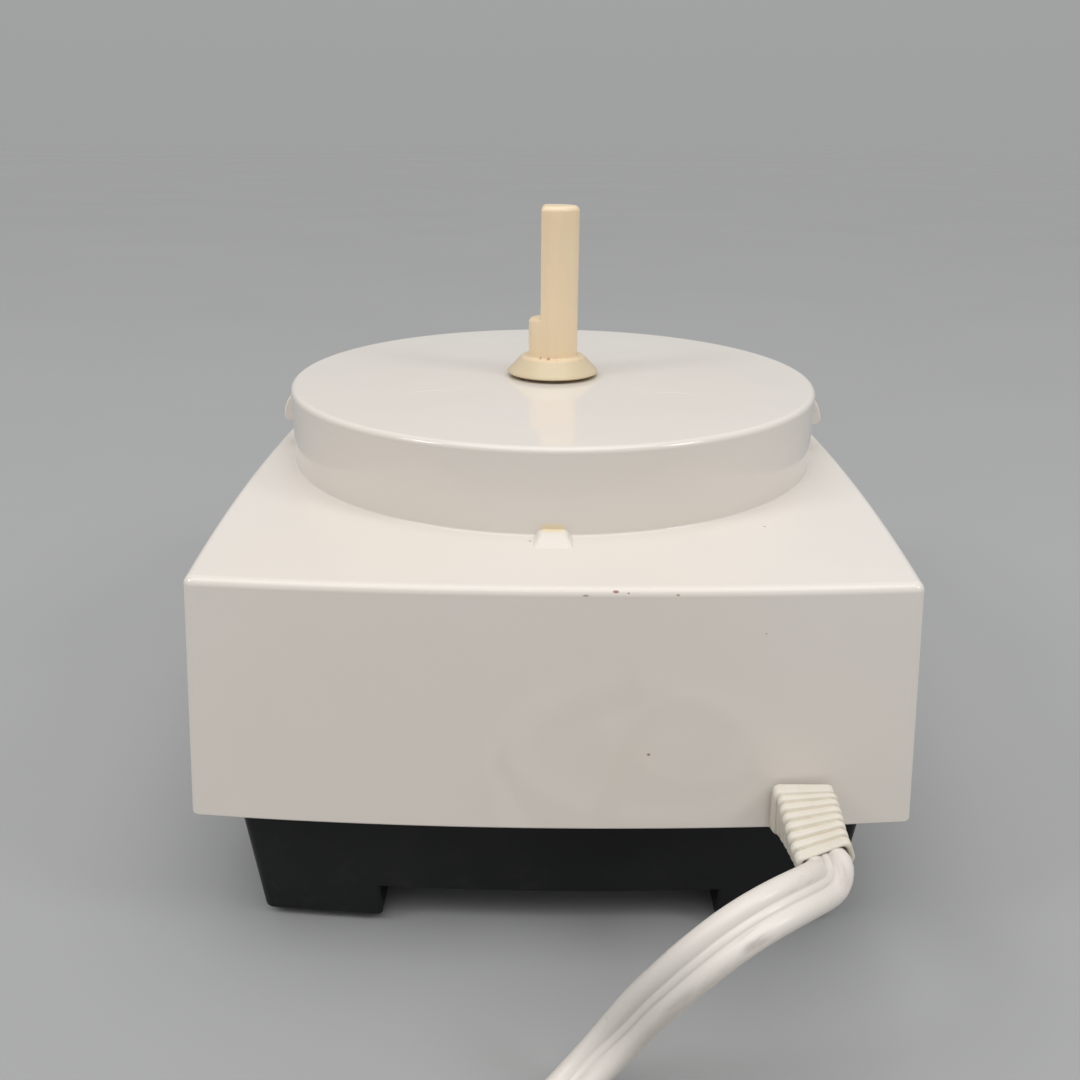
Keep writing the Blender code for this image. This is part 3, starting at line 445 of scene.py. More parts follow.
def pick_and_bevel(thing, wanted, width):
    """Round a piece's sharp edges whose two ends satisfy the test, given in millimetres."""
    bm = bmesh.new()
    bm.from_mesh(thing.data)
    edges = [edge for edge in bm.edges
             if len(edge.link_faces) == 2 and edge.calc_face_angle(0.0) > math.radians(40)
             and all(wanted(vert.co / MM) for vert in edge.verts)]
    bmesh.ops.bevel(bm, geom=edges, offset=width * MM, segments=3, profile=0.5, affect='EDGES',
                    clamp_overlap=True)
    bm.to_mesh(thing.data)
    bm.free()
    smooth(thing.data)


def window_tool(x):
    """Round-cornered prism that opens the front wall for one paddle."""
    middle = Vector((x, 0.0, sum(WINDOW_Z) / 2))
    size = (LEVER_HALF + WINDOW_GAP, (WINDOW_Z[1] - WINDOW_Z[0]) / 2)
    return loft("window", [rounded_loop(middle + ALONG_Y * y, ALONG_X, ALONG_Z, size, 2.0, 8)
                           for y in (-125.0, -100.0)])


def make_housing():
    """One moulding: bowed walls, deck, round seat with its collar, and the hollow inside."""
    lip = 0.6
    loops = []
    for inset, rise in arc((lip, 0.0), lip, 270, 180, 4):
        z = HOUSING_BOTTOM_Z + lip + rise
        loops.append(bowed_outline(housing_half(z, inset), CORNER, z))
    for reach, rise in arc((0.0, 0.0), DECK_FILLET, 0, 90, 10):
        inset = DECK_FILLET - reach
        z = DECK_Z - DECK_FILLET + rise
        loops.append(bowed_outline(housing_half(z, inset), CORNER - inset, z))
    bearings = [math.atan2(y, x) for x, y, _ in loops[-1]]

    def ring(radius, z):
        return [(radius * math.cos(a), radius * math.sin(a), z) for a in bearings]

    foot = arc((SEAT_RADIUS + SEAT_FOOT_FILLET, DECK_Z + SEAT_FOOT_FILLET), SEAT_FOOT_FILLET, 270, 180, 5)
    rim = arc((SEAT_RADIUS - SEAT_FILLET, SEAT_Z - SEAT_FILLET), SEAT_FILLET, 0, 90, 10)
    collar = arc((COLLAR_RADIUS + 0.4, SEAT_Z + 0.4), 0.4, 270, 180, 3)
    collar += arc((COLLAR_RADIUS - 0.4, COLLAR_Z - 0.4), 0.4, 0, 90, 3)
    hole = [(SHAFT_HOLE_RADIUS + 0.3, COLLAR_Z), (SHAFT_HOLE_RADIUS, COLLAR_Z - 0.3),
            (SHAFT_HOLE_RADIUS, SEAT_CEILING_Z)]
    under = [(SEAT_RADIUS - WALL, SEAT_CEILING_Z), (SEAT_RADIUS - WALL, DECK_Z - WALL)]
    loops += [ring(radius, z) for radius, z in foot + rim + collar + hole + under]
    for z in (DECK_Z - WALL, HOUSING_BOTTOM_Z):
        loops.append(bowed_outline(housing_half(z, WALL), 1.0, z))
    shell = loft("housing_shell", loops, ring=True)

    tools = []
    for x in (-MARK_AT[0], MARK_AT[0]):
        at = (x, MARK_AT[1])
        tools.append(loft("mark", [circle(MARK_RADIUS, SEAT_Z - MARK_DEPTH, 64, at),
                                   circle(MARK_RADIUS + 2.0, SEAT_Z + 0.6, 64, at)]))
    tools += [window_tool(-LEVER_X), window_tool(LEVER_X)]
    tools.append(rounded_box("boot_slot", (-64.9, -53.1), (104.0, 118.0), (HOUSING_BOTTOM_Z - 3, 51.0), 0.0))
    tools.append(upright("rod_hole", ROD_RADIUS + ROD_GAP, (90.0, DECK_Z + 2), ROD_AT))
    cut(shell, tools)

    def at_window(point):
        return (WINDOW_Z[0] - 0.5 < point.z < WINDOW_Z[1] + 0.5 and point.y < 0.4 - housing_half(point.z)[1]
                and abs(abs(point.x) - LEVER_X) < LEVER_HALF + WINDOW_GAP + 0.3)

    pick_and_bevel(shell, at_window, 0.5)
    pick_and_bevel(shell, lambda p: abs(p.z - DECK_Z) < 0.01 and math.dist(p.to_2d(), ROD_AT) < 5, 0.4)

    lugs = [side_lug(-1), side_lug(1), deck_lug(-1), deck_lug(1)]
    return join("housing_shell", [shell] + lugs)


def side_lug(side):
    """Catch on the seat's wall with a full, rounded face over a flat underside."""
    root = SEAT_RADIUS - 2
    face = ((84.0, 110.6), (84.25, 111.3), (84.3, 112.2), (84.1, 113.6), (83.6, 115.2), (82.9, 116.7),
            (82.0, 118.1), (81.1, 119.2), (80.2, 119.8))
    profile = ((root, 110.6), *face, (root, 119.8))
    lug = loft("side_lug", [[(side * x, y, z) for x, z in profile] for y in (-4.2, 4.2)])
    pick_and_bevel(lug, lambda p: abs(p.x) > SEAT_RADIUS, 0.7)
    return lug


def deck_lug(side):
    """Low ramp on the deck at the foot of the seat's wall, with soft edges."""
    root = side * (SEAT_RADIUS - 3)
    foot = [(-5.5, root), (5.5, root), (5.5, side * 90.2), (-5.5, side * 90.2)]
    top = [(-3.3, root), (3.3, root), (3.3, side * 84.0), (-3.3, side * 84.0)]
    lug = loft("deck_lug", [[(x, y, DECK_Z - 1) for x, y in foot], [(x, y, DECK_Z + 1.85) for x, y in top]])
    pick_and_bevel(lug, lambda p: p.z > DECK_Z or abs(p.y) > SEAT_RADIUS, 0.8)
    return lug


def foot_outline(z, inset, side):
    """Plan outline of one long foot, between the tunnel's wall and the bowed side."""
    half = pan_half(z, inset)
    near = TUNNEL_HALF + inset
    soft = 1.2
    side_steps, corner_steps, end_steps, soft_steps, tunnel_steps = 48, 7, 12, 5, 8
    flat_x, flat_y = half[0] - CORNER, half[1] - CORNER

    def end(x):
        return half[1] + BOW[1] * (1 - (x / flat_x) ** 2)

    back = [(half[0] - CORNER + CORNER * math.cos(a), flat_y + CORNER * math.sin(a))
            for a in (math.pi / 2 * i / corner_steps for i in range(1, corner_steps))]
    back += [(x, end(x))
             for x in (flat_x + (near + soft - flat_x) * i / end_steps for i in range(end_steps + 1))]
    middle = (near + soft, end(near + soft) - soft)
    back += [(middle[0] + soft * math.cos(a), middle[1] + soft * math.sin(a))
             for a in (math.pi / 2 * (1 + i / soft_steps) for i in range(1, soft_steps + 1))]
    front = [(x, -y) for x, y in reversed(back)]
    outer = [(half[0] + BOW[0] * (1 - t * t), flat_y * t)
             for t in (2 * i / side_steps - 1 for i in range(side_steps + 1))]
    inner_y = back[-1][1]
    inner = [(near, inner_y * (1 - 2 * i / tunnel_steps)) for i in range(1, tunnel_steps)]
    return [(side * x, y, z) for x, y in outer + back + inner + front]


def make_base():
    """Dark pan: two long feet, a vented tunnel between them and the hollow body above."""
    feet = []
    edge = 0.9
    for side in (-1, 1):
        loops = [foot_outline(PAD_Z + edge - rise, edge - reach, side)
                 for reach, rise in arc((0.0, 0.0), edge, 90, 0, 5)]
        loops.append(foot_outline(TUNNEL_Z, 0.0, side))
        foot = loft("foot", loops)
        recesses = [upright("recess", 4.4, (0.0, 11.0), at, 32)
                    for at in four_ways(BASE_SCREW_AT) if at[0] * side > 0]
        feet.append(cut(foot, recesses))

    loops = [bowed_outline(pan_half(z), CORNER, z) for z in (TUNNEL_Z, FLANGE_Z[0])]
    loops += [bowed_outline(housing_half(z, WALL + 0.3), 1.0, z) for z in FLANGE_Z]
    loops += [bowed_outline(pan_half(z, WALL), 1.0, z) for z in (FLANGE_Z[1], FLOOR_Z)]
    body = loft("pan_body", loops)
    tools = [vent_slot(x) for x in range(-30, 31, 10)]
    tools.append(rounded_box("notch", (-68.0, -50.0), (98.0, 116.0), (38.3, 46.0), 0.0))
    cut(body, tools)
    pick_and_bevel(body, lambda p: abs(p.z - TUNNEL_Z) < 0.01 and abs(p.x) < TUNNEL_HALF - 1, 0.5)
    return join("base_shell", feet + [body])


def vent_slot(x):
    """Round-ended vent through the tunnel's roof."""
    middle = Vector((x, 0.0, 0.0))
    loops = [rounded_loop(middle + ALONG_Z * z, ALONG_X, ALONG_Y, (2.0, 24.0), 1.99, 6)
             for z in (TUNNEL_Z - 2, FLOOR_Z + 2)]
    return loft("vent", loops)


def make_pad(number, at):
    """Rubber foot pad with a rounded rim and a shallow tray in its face."""
    centre = Vector((*at, 0.0))
    rows = ((0.35, 3.2), (0.15, 2.4), (0.0, 1.2), (0.15, 0.5), (0.6, 0.1), (PAD_Z + 0.1, 0.1))
    loops = []
    for z, inset in rows:
        loops.append(rounded_loop(centre + ALONG_Z * z, ALONG_X, ALONG_Y,
                                  (PAD_HALF[0] - inset, PAD_HALF[1] - inset),
                                  max(PAD_CORNER - inset * 0.5, 1.0), 6))
    return loft(f"pad_{number}", loops)


# ---- drive sheath, levers and rod

SHEATH_RADIUS = 7.5
SHEATH_FLAT_X = 3.85
SHEATH_FLAT_Z = 142.0
SHEATH_TOP_Z = 175.0
SHEATH_ROUND = 1.5
SKIRT_RADIUS = 14.05
SKIRT_Z = 125.7


def rod_ring(radius, flat, z):
    """Level ring of the sheath: a circle with one side cut off at x = flat between two soft corners."""
    soft = 0.8
    ring = []
    for x, y, _ in circle(radius, z, 144):
        kept = min(max(0.5 + 0.5 * (flat - x) / soft, 0.0), 1.0)
        ring.append((flat + (x - flat) * kept - soft * kept * (1 - kept), y, z))
    return ring


def make_sheath():
    """Sleeve over the shaft: a conical skirt, a round foot, and above its shelf a rod with a flat."""
    r, whole = SHEATH_RADIUS, 2 * SHEATH_RADIUS
    round_rows = [(0.01, 126.2), (12.4, 126.2), (12.8, SKIRT_Z + 0.1), (13.2, SKIRT_Z),
                  (SKIRT_RADIUS - 0.35, SKIRT_Z)]
    round_rows += arc((SKIRT_RADIUS - 0.35, SKIRT_Z + 0.35), 0.35, -60, 25, 5)
    round_rows += arc((9.3, 130.0), 0.8, 44, 90, 5)
    round_rows += [(r + 0.45, 130.88)] + arc((r + 0.45, 131.33), 0.45, 260, 180, 4) + [(r, 136.0)]
    loops = [rod_ring(radius, whole, z) for radius, z in round_rows]
    shelf_rows = ((7.95, -0.8), (7.5, -0.4), (7.15, -0.15), (6.7, -0.04), (6.2, 0.0), (4.9, 0.03), (4.3, 0.1),
                  (4.0, 0.3), (SHEATH_FLAT_X, 0.7), (SHEATH_FLAT_X, 10.0), (SHEATH_FLAT_X, 20.0))
    loops += [rod_ring(r, flat, SHEATH_FLAT_Z + rise) for flat, rise in shelf_rows]
    for reach, rise in arc((0.0, 0.0), SHEATH_ROUND, 0, 82, 8):
        inset = SHEATH_ROUND - reach
        loops.append(rod_ring(r - inset, SHEATH_FLAT_X - inset, SHEATH_TOP_Z - SHEATH_ROUND + rise))
    loops.append(rod_ring(r - 2.2, SHEATH_FLAT_X - 2.2, SHEATH_TOP_Z))
    loops.append(rod_ring(0.01, whole, SHEATH_TOP_Z))
    return loft("sheath", loops, smooth_angle=50)


def make_lever(name, x):
    """Rocking paddle with a dished face, a thumb ledge near its foot and a hidden barrel on the pin."""
    half = LEVER_HALF
    columns, rows, edge_steps = 28, 30, 5
    low, high, front, back = -34.0, 2.0, -8.6, -5.2
    edge, dish = 1.3, 0.55
    middle = (low + high) / 2
    inner = (half - edge, (high - low) / 2 - edge)
    bm = bmesh.new()
    grid = []                      # the dished face, inside its rounded edge
    for v in (2 * j / rows - 1 for j in range(rows + 1)):
        line = [(u * inner[0], front + dish * (1 - u * u) * (1 - v * v), middle + v * inner[1])
                for u in (2 * i / columns - 1 for i in range(columns + 1))]
        grid.append([bm.verts.new(point) for point in line])
    for low_line, high_line in zip(grid, grid[1:]):
        for i in range(columns):
            bm.faces.new((low_line[i], low_line[i + 1], high_line[i + 1], high_line[i]))
    rim = grid[0] + [line[-1] for line in grid[1:]] + grid[-1][-2::-1] + [line[0] for line in grid[-2:0:-1]]
    rings = [rim]
    for angle in (math.pi / 2 * step / edge_steps for step in range(1, edge_steps + 1)):
        ring = []
        for vert in rim:
            off = (vert.co.x, vert.co.z - middle)
            way = [math.copysign(1.0, value) if abs(abs(value) - most) < 1e-4 else 0.0
                   for value, most in zip(off, inner)]
            out = Vector((way[0], 0.0, way[1])).normalized()
            ring.append(bm.verts.new(vert.co + out * edge * math.sin(angle)
                                     + ALONG_Y * (edge * (1 - math.cos(angle)))))
        rings.append(ring)
    rings.append([bm.verts.new((vert.co.x, back, vert.co.z)) for vert in rings[-1]])
    for previous, ring in zip(rings, rings[1:]):
        for i in range(len(ring)):
            bm.faces.new((previous[i - 1], previous[i], ring[i], ring[i - 1]))
    bm.faces.new(rings[-1])
    paddle = new_object("paddle", bm)
    ledge = rounded_box("ledge", (-half + 2.0, half - 2.0), (-10.75, -6.5), (-32.3, -29.2), 1.2, 5)
    web = rounded_box("web", (-12.0, 12.0), (-6.0, 0.0), (-3.0, 3.0), 0.0)
    tail = rounded_box("tail", (-3.0, 3.0), (-6.0, 2.5), (-17.0, -11.0), 0.5, 2)
    bm = bmesh.new()
    skin(bm, [[(end, y, z) for y, z, _ in circle(3.2, 0.0, 32)] for end in (-13.0, 13.0)])
    barrel = new_object("barrel", bm)
    lever = join(name, [paddle, ledge, web, tail, barrel])
    slope = math.atan(DRAFT / (DECK_Z - HOUSING_BOTTOM_Z))
    place = Matrix.Translation(Vector((x, *LEVER_PIVOT)) * MM) @ Matrix.Rotation(-slope, 4, 'X')
    lever.data.transform(place)
    return lever


def make_rod():
    """Top of the interlock rod with a small crowned end, and its guide collar below the deck."""
    r = ROD_RADIUS
    profile = [(0.01, 71.5), (r - 0.4, 71.5), (r, 71.9), (r, 85.0), (r + 2, 85.0), (r + 2, 87.0), (r, 87.0),
               (r, 106.6)]
    profile += arc((r - 1.3, 106.7), 1.3, 10, 80, 6) + [(0.9, 108.0), (0.01, 108.0)]
    return loft("rod", [circle(radius, z, 48, ROD_AT) for radius, z in profile])


# ---- boot, tie and plug

TIE_REACH = (45.4, 63.4)        # from the coil's centre to the band's inner and outer face
PLUG_HEADING = math.radians(76.0)
PLUG_LENGTH = 28.0
PLUG_HALF = (11.0, 7.0)
BLADE_LENGTH = 17.0
BLADE_SPACING = 12.7


def make_boot():
    """Ribbed boot: two plates at the wall, five ribs that fan as it twists, and a plain cuff."""
    steps = [(2.7, 0.0), (0.3, 0.55), (1.55, 0.1)]  # thickness of each step and how far it stands back
    steps += [(0.6, 0.62), (1.8, 0.1)] * BOOT_RIBS + [(0.5, 0.6), (2.3, 0.1)]
    total = sum(thickness for thickness, _ in steps)
    loops, grooves = [], []
    reached = 0.0
    for thickness, back in steps:
        sunk = back > 0.5
        soft = 0.0 if sunk else 0.5
        if sunk:
            rims = [(0.08, 0.0), (thickness - 0.08, 0.0)]
        else:
            rims = [(soft - rise, soft - reach) for reach, rise in arc((0.0, 0.0), soft, 90, 0, 3)]
            rims += [(thickness - soft + rise, soft - reach)
                     for reach, rise in arc((0.0, 0.0), soft, 0, 90, 3)]
        for distance, inset in rims:
            t = (reached + distance) / total
            half = [h - loss * t - back - inset for h, loss in zip(BOOT_PLATE_HALF, BOOT_NARROWING)]
            centre, across, up = boot_frame(t)
            aside = -0.55 * ease(reached + distance, 2.6, 3.4) * ease(total - reached - distance, 0.0, 12.0)
            loops.append(rounded_loop(centre + across * aside, across, up, half, 1.6, 7))
            grooves.append(1.0 if sunk else 0.0)
        reached += thickness
    for half, depth in (((5.5, 2.75), 0.0), ((5.2, 2.5), 0.3), ((5.0, 2.4), 2.5)):  # mouth round the cord
        loops.append(rounded_loop(*boot_frame(1.0 - depth / total), half, 1.6, 7))
        grooves.append(0.6)
    boot = loft("boot", loops, smooth_angle=48)
    # The groove mark is where the finish paints shade: 1 in the grooves between the ribs, 0.6 inside the
    # mouth.
    mark(boot, "groove", [value for value in grooves for _ in loops[0]])
    return boot


def make_tie():
    """Flat band round the coil's turns."""
    near, far = TIE_REACH
    middle = Vector((COIL_CENTRE[0], COIL_CENTRE[1] + (near + far) / 2, COIL_Z))
    half = ((far - near) / 2, 5.85)
    rows = ((-2.6, 0.15, 2.0), (-2.3, 0.0, 2.0), (2.3, 0.0, 2.0), (2.6, 0.15, 2.0), (2.3, 0.55, 1.5),
            (-2.3, 0.55, 1.5))
    loops = [rounded_loop(middle + ALONG_X * offset, ALONG_Y, ALONG_Z, (half[0] - inset, half[1] - inset),
                          corner, 6) for offset, inset, corner in rows]
    return loft("tie", loops, ring=True)


def plug_frame():
    ahead = Vector((math.cos(PLUG_HEADING), math.sin(PLUG_HEADING), 0.0))
    across = Vector((ahead.y, -ahead.x, 0.0))
    return Vector(LEAD_ROUTE[-1]) + ahead * 0.3, ahead, across, ALONG_Z


def make_plug():
    """Moulded flat plug: a ribbed neck, a waisted grip and a broad front face."""
    rear, ahead, across, up = plug_frame()
    w, h = PLUG_HALF
    stations = [(0.0, 5.2, 3.2, 0.8)]
    for rib in range(4):
        s = 0.9 + 2.1 * rib
        grow = 0.35 * rib
        stations += [(s, 5.9 + grow, 3.9 + grow, 0.8), (s + 1.1, 5.9 + grow, 3.9 + grow, 0.8),
                     (s + 1.25, 5.2 + grow, 3.3 + grow, 0.8), (s + 1.95, 5.2 + grow, 3.3 + grow, 0.8)]
    stations += [(9.4, 7.4, 5.2, 0.7), (11.0, 9.0, 6.1, 0.62), (13.0, 10.4, 6.75, 0.55),
                 (15.5, w - 0.1, h, 0.5), (17.0, w - 0.5, h - 0.55, 0.5), (21.5, w - 0.6, h - 0.7, 0.5),
                 (23.5, w - 0.2, h - 0.15, 0.5), (25.5, w, h, 0.45), (27.0, w, h, 0.45),
                 (27.7, w - 0.35, h - 0.35, 0.45), (PLUG_LENGTH, w - 1.1, h - 1.1, 0.45)]
    loops = [rounded_loop(rear + ahead * s, across, up, (a, b), min(a, b) * share, 8)
             for s, a, b, share in stations]
    return loft("plug", loops, smooth_angle=40)


def make_blade(number, side):
    """Folded brass blade with a chamfered tip and its round hole."""
    rear, ahead, across, up = plug_frame()
    height = 3.2 + 0.4 * side
    start = rear + ahead * (PLUG_LENGTH - 3.0) + across * side * BLADE_SPACING / 2
    reach = 3.0 + BLADE_LENGTH
    outline = [(0.0, -height), (reach - 2.2, -height), (reach - 0.5, -height + 0.9), (reach, -height + 1.9),
               (reach, height - 1.9), (reach - 0.5, height - 0.9), (reach - 2.2, height), (0.0, height)]
    loops = []
    for out, inset in ((-0.75, 0.2), (-0.55, 0.0), (0.55, 0.0), (0.75, 0.2)):
        loops.append([start + across * out + ahead * (s - (inset if s > 1 else 0))
                      + up * (v - math.copysign(inset, v)) for s, v in outline])
    blade = loft(f"blade_{number}", loops, smooth_angle=30)
    hole_at = start + ahead * (reach - 3.4)
    ring = []
    for out in (-2.0, 2.0):
        ring.append([hole_at + across * out + ahead * (1.6 * math.cos(a)) + up * (1.6 * math.sin(a))
                     for a in (2 * math.pi * i / 24 for i in range(24))])
    return cut(blade, [loft("blade_hole", ring)])


# ---- finishes

# Specks of dirt: place and radius in millimetres, then the scale along X that stretches it, and its colour
HOUSING_SPECKS = (
    ((-13.7, 110.45, 101.15), 0.22, 0.5, (0.24, 0.06, 0.05)),
    ((-7.1, 110.95, 100.35), 0.12, 0.35, (0.33, 0.28, 0.24)),
    ((-16.5, 110.6, 100.9), 0.08, 0.7, (0.33, 0.19, 0.14)),
    ((-27.4, 110.5, 100.5), 0.12, 0.6, (0.30, 0.24, 0.20)),
    ((5.6, 83.3, 102.0), 0.22, 1.0, (0.22, 0.17, 0.14)),
    ((-54.0, 72.0, 102.0), 0.15, 0.8, (0.20, 0.15, 0.12)),
    ((-22.5, 113.3, 61.0), 0.2, 0.8, (0.20, 0.14, 0.10)),
)
SHEATH_SPECKS = (((3.9, 6.9, 131.2), 0.3), ((1.4, 7.9, 131.1), 0.45))
# Metres along the lead and reach, share of the way round its section and width, and depth of tone
CORD_SMUDGES = ((0.041, 0.0045, 0.085, 0.045, 1.0), (0.060, 0.008, 0.09, 0.05, 0.5),
                (0.012, 0.005, 0.1, 0.07, 0.6), (0.050, 0.012, 0.07, 0.04, 0.3))


class Finish:
    """One procedural material, built a node at a time in the object's own metres."""

    def __init__(self, name, roughness, metallic=0.0):
        self.material = bpy.data.materials.new(name)
        self.material.use_nodes = True
        self.tree = self.material.node_tree
        self.shader = self.tree.nodes["Principled BSDF"]
        self.set("Metallic", metallic)
        self.set("Roughness", roughness)
        self.place = self.node("TexCoord").outputs["Object"]

    def node(self, kind, inputs=None, **settings):
        node = self.tree.nodes.new("ShaderNode" + kind)
        for key, value in settings.items():
            setattr(node, key, value)
        for key, value in (inputs or {}).items():
            self.feed(node.inputs[key], value)
        return node

    def feed(self, socket, value):
        """Link another node's output to a socket, or set the socket to a plain value."""
        if isinstance(value, bpy.types.NodeSocket):
            self.tree.links.new(value, socket)
        else:
            socket.default_value = value

    def set(self, name, value):
        self.feed(self.shader.inputs[name], value)

    def stretched(self, x, y, z):
        """The object's own place, scaled along each axis."""
        return self.node("Mapping", {"Vector": self.place, "Scale": (x, y, z)}).outputs["Vector"]

    def noise(self, scale, detail=3.0, roughness=0.5, place=None):
        return self.node("TexNoise", {"Vector": place or self.place, "Scale": scale, "Detail": detail,
                                      "Roughness": roughness}).outputs["Fac"]

    def ramp(self, value, low, high, start=0.0, stop=1.0):
        """Smooth step of a value from start at low to stop at high."""
        inputs = {"Value": value, "From Min": low, "From Max": high, "To Min": start, "To Max": stop}
        return self.node("MapRange", inputs, interpolation_type='SMOOTHSTEP').outputs["Result"]

    def math(self, operation, a, b=0.0):
        return self.node("Math", {0: a, 1: b}, operation=operation).outputs[0]

    def times(self, a, b):
        return self.math('MULTIPLY', a, b)

    def mix(self, amount, a, b):
        """Blend of two colours, given as triples or sockets."""
        def colour(value):
            return value if isinstance(value, bpy.types.NodeSocket) else (*value, 1.0)
        return self.node("Mix", {0: amount, 6: colour(a), 7: colour(b)}, data_type='RGBA').outputs[2]

    def axis(self, letter):
        return self.node("SeparateXYZ", {0: self.place}).outputs[letter]

    def spot(self, centre, radius, soft, flatten=(1.0, 1.0, 1.0)):
        """1 near a point given in millimetres, fading to 0 outside a radius."""
        place = self.stretched(*flatten)
        at = tuple(c * f * MM for c, f in zip(centre, flatten))
        far = self.node("VectorMath", {0: place, 1: at}, operation='DISTANCE').outputs["Value"]
        return self.ramp(far, radius * MM, (radius + soft) * MM, 1.0, 0.0)

    def attribute(self, name):
        return self.node("Attribute", attribute_name=name).outputs["Fac"]

    def specks(self, scale, size, share):
        """Rare round specks: few of a grid's cells hold one."""
        cells = self.node("TexVoronoi", {"Vector": self.place, "Scale": scale})
        lot = self.node("SeparateColor", {0: cells.outputs["Color"]}).outputs[0]
        chosen = self.math('GREATER_THAN', lot, 1 - share)
        return self.times(self.ramp(cells.outputs["Distance"], size * 0.6, size, 1.0, 0.0), chosen)

    def bump(self, *layers):
        """Heights in metres, added one on another."""
        normal = None
        for height, distance in layers:
            inputs = {"Height": height, "Distance": distance, "Strength": 1.0}
            if normal:
                inputs["Normal"] = normal
            normal = self.node("Bump", inputs).outputs["Normal"]
        self.set("Normal", normal)

    def glow(self, weight, radius):
        """Light that passes a little way under the surface, by its reach in metres for each colour."""
        self.set("Subsurface Weight", weight)
        self.set("Subsurface Radius", radius)
        self.set("Subsurface Scale", 1.0)


def white_plastic():
    """Polished warm white moulding, a little yellowed, with faint smudges and a few dirt specks."""
    f = Finish("white_plastic", 0.1)
    colour = f.mix(f.ramp(f.noise(7, 2), 0.35, 0.7), (0.745, 0.705, 0.655), (0.735, 0.680, 0.615))
    colour = f.mix(f.ramp(f.noise(55, 4), 0.3, 0.75, 0.0, 0.25), colour, (0.70, 0.665, 0.625))
    seam = f.times(f.ramp(f.axis("Y"), 0.1075, 0.1093), f.ramp(f.axis("Z"), 0.0975, 0.0995))
    band = f.ramp(f.noise(1, 5, 0.6, f.stretched(260, 900, 900)), 0.69, 0.76)
    colour = f.mix(f.times(f.times(seam, band), 0.45), colour, (0.33, 0.17, 0.11))
    colour = f.mix(f.times(f.specks(210, 0.06, 0.012), 0.6), colour, (0.16, 0.11, 0.08))
    # A yellowish line along the seat's wall just above the deck lug at the back.
    line_above_lug = f.spot((0.0, 80.6, 104.2), 0.9, 0.7, (0.36, 1.0, 1.0))
    colour = f.mix(f.times(line_above_lug, 0.55), colour, (0.82, 0.65, 0.34))
    grime = f.times(f.spot((0.0, 0.0, SEAT_Z), 11.5, 5.5), f.ramp(f.noise(160, 4), 0.3, 0.7, 0.35, 1.0))
    colour = f.mix(f.times(grime, 0.6), colour, (0.62, 0.50, 0.30))
    for at, size, stretch, tone in HOUSING_SPECKS:
        colour = f.mix(f.times(f.spot(at, size, 0.22, (stretch, 1.0, 1.0)), 0.85), colour, tone)
    f.set("Base Color", colour)
    haze = f.ramp(f.noise(19, 5, 0.6), 0.42, 0.72, 0.055, 0.1)
    f.set("Roughness", f.math('ADD', haze, f.ramp(f.noise(700, 2), 0.4, 0.8, 0.0, 0.02)))
    f.bump((f.noise(17, 2), 0.00022), (f.noise(900, 2), 0.000001))
    return f.material


def charcoal_plastic():
    """Satin near-black moulding with a fine spark-eroded grain, dusty and scuffed near the table."""
    f = Finish("charcoal_plastic", 0.4)
    colour = f.mix(f.ramp(f.noise(30, 4), 0.35, 0.7), (0.0060, 0.0066, 0.0076), (0.0095, 0.0102, 0.0112))
    dust = f.times(f.ramp(f.noise(120, 6, 0.65), 0.52, 0.75), f.ramp(f.axis("Z"), 0.001, 0.030, 0.3, 0.05))
    colour = f.mix(dust, colour, (0.042, 0.041, 0.039))
    f.set("Base Color", colour)
    f.set("Roughness", f.ramp(f.noise(45, 4), 0.3, 0.75, 0.36, 0.5))
    f.set("Specular IOR Level", 0.22)
    f.bump((f.noise(1500, 2), 0.000012), (f.noise(60, 2), 0.00003))
    return f.material


def cream_plastic():
    """Satin cream moulding, browned with age, greasy at the foot, with faint lengthwise drawing lines."""
    f = Finish("cream_plastic", 0.34)
    colour = f.mix(f.ramp(f.noise(28, 3), 0.3, 0.7), (0.89, 0.735, 0.515), (0.86, 0.675, 0.445))
    streak = f.ramp(f.noise(1, 4, 0.6, f.stretched(260, 260, 14)), 0.4, 0.75, 0.0, 0.16)
    colour = f.mix(streak, colour, (0.62, 0.47, 0.30))
    foot = f.ramp(f.axis("Z"), 0.1255, 0.1272, 1.0, 0.0)
    colour = f.mix(f.times(foot, 0.75), colour, (0.42, 0.30, 0.10))
    # Painted shade: the whole skirt is toned darker and browner than the rod above it.
    skirt = f.times(f.ramp(f.axis("Z"), 0.1300, 0.1316, 1.0, 0.0), 0.8)
    colour = f.mix(skirt, colour, (0.60, 0.505, 0.345))
    crumbs = f.times(f.ramp(f.axis("Z"), 0.1304, 0.1316, 1.0, 0.0), f.ramp(f.noise(520, 3), 0.60, 0.72))
    crumbs = f.times(crumbs, f.ramp(f.axis("Z"), 0.1296, 0.1304))
    colour = f.mix(f.times(crumbs, 0.5), colour, (0.36, 0.16, 0.07))
    for at, size in SHEATH_SPECKS:
        colour = f.mix(f.times(f.spot(at, size, 0.3), 0.8), colour, (0.36, 0.16, 0.07))
    f.set("Base Color", colour)
    f.set("Roughness", f.ramp(f.noise(60, 4), 0.3, 0.75, 0.27, 0.42))
    f.glow(0.12, (0.004, 0.0025, 0.0015))
    f.bump((f.noise(1, 3, 0.5, f.stretched(900, 900, 40)), 0.000012), (f.noise(40, 2), 0.00004))
    return f.material


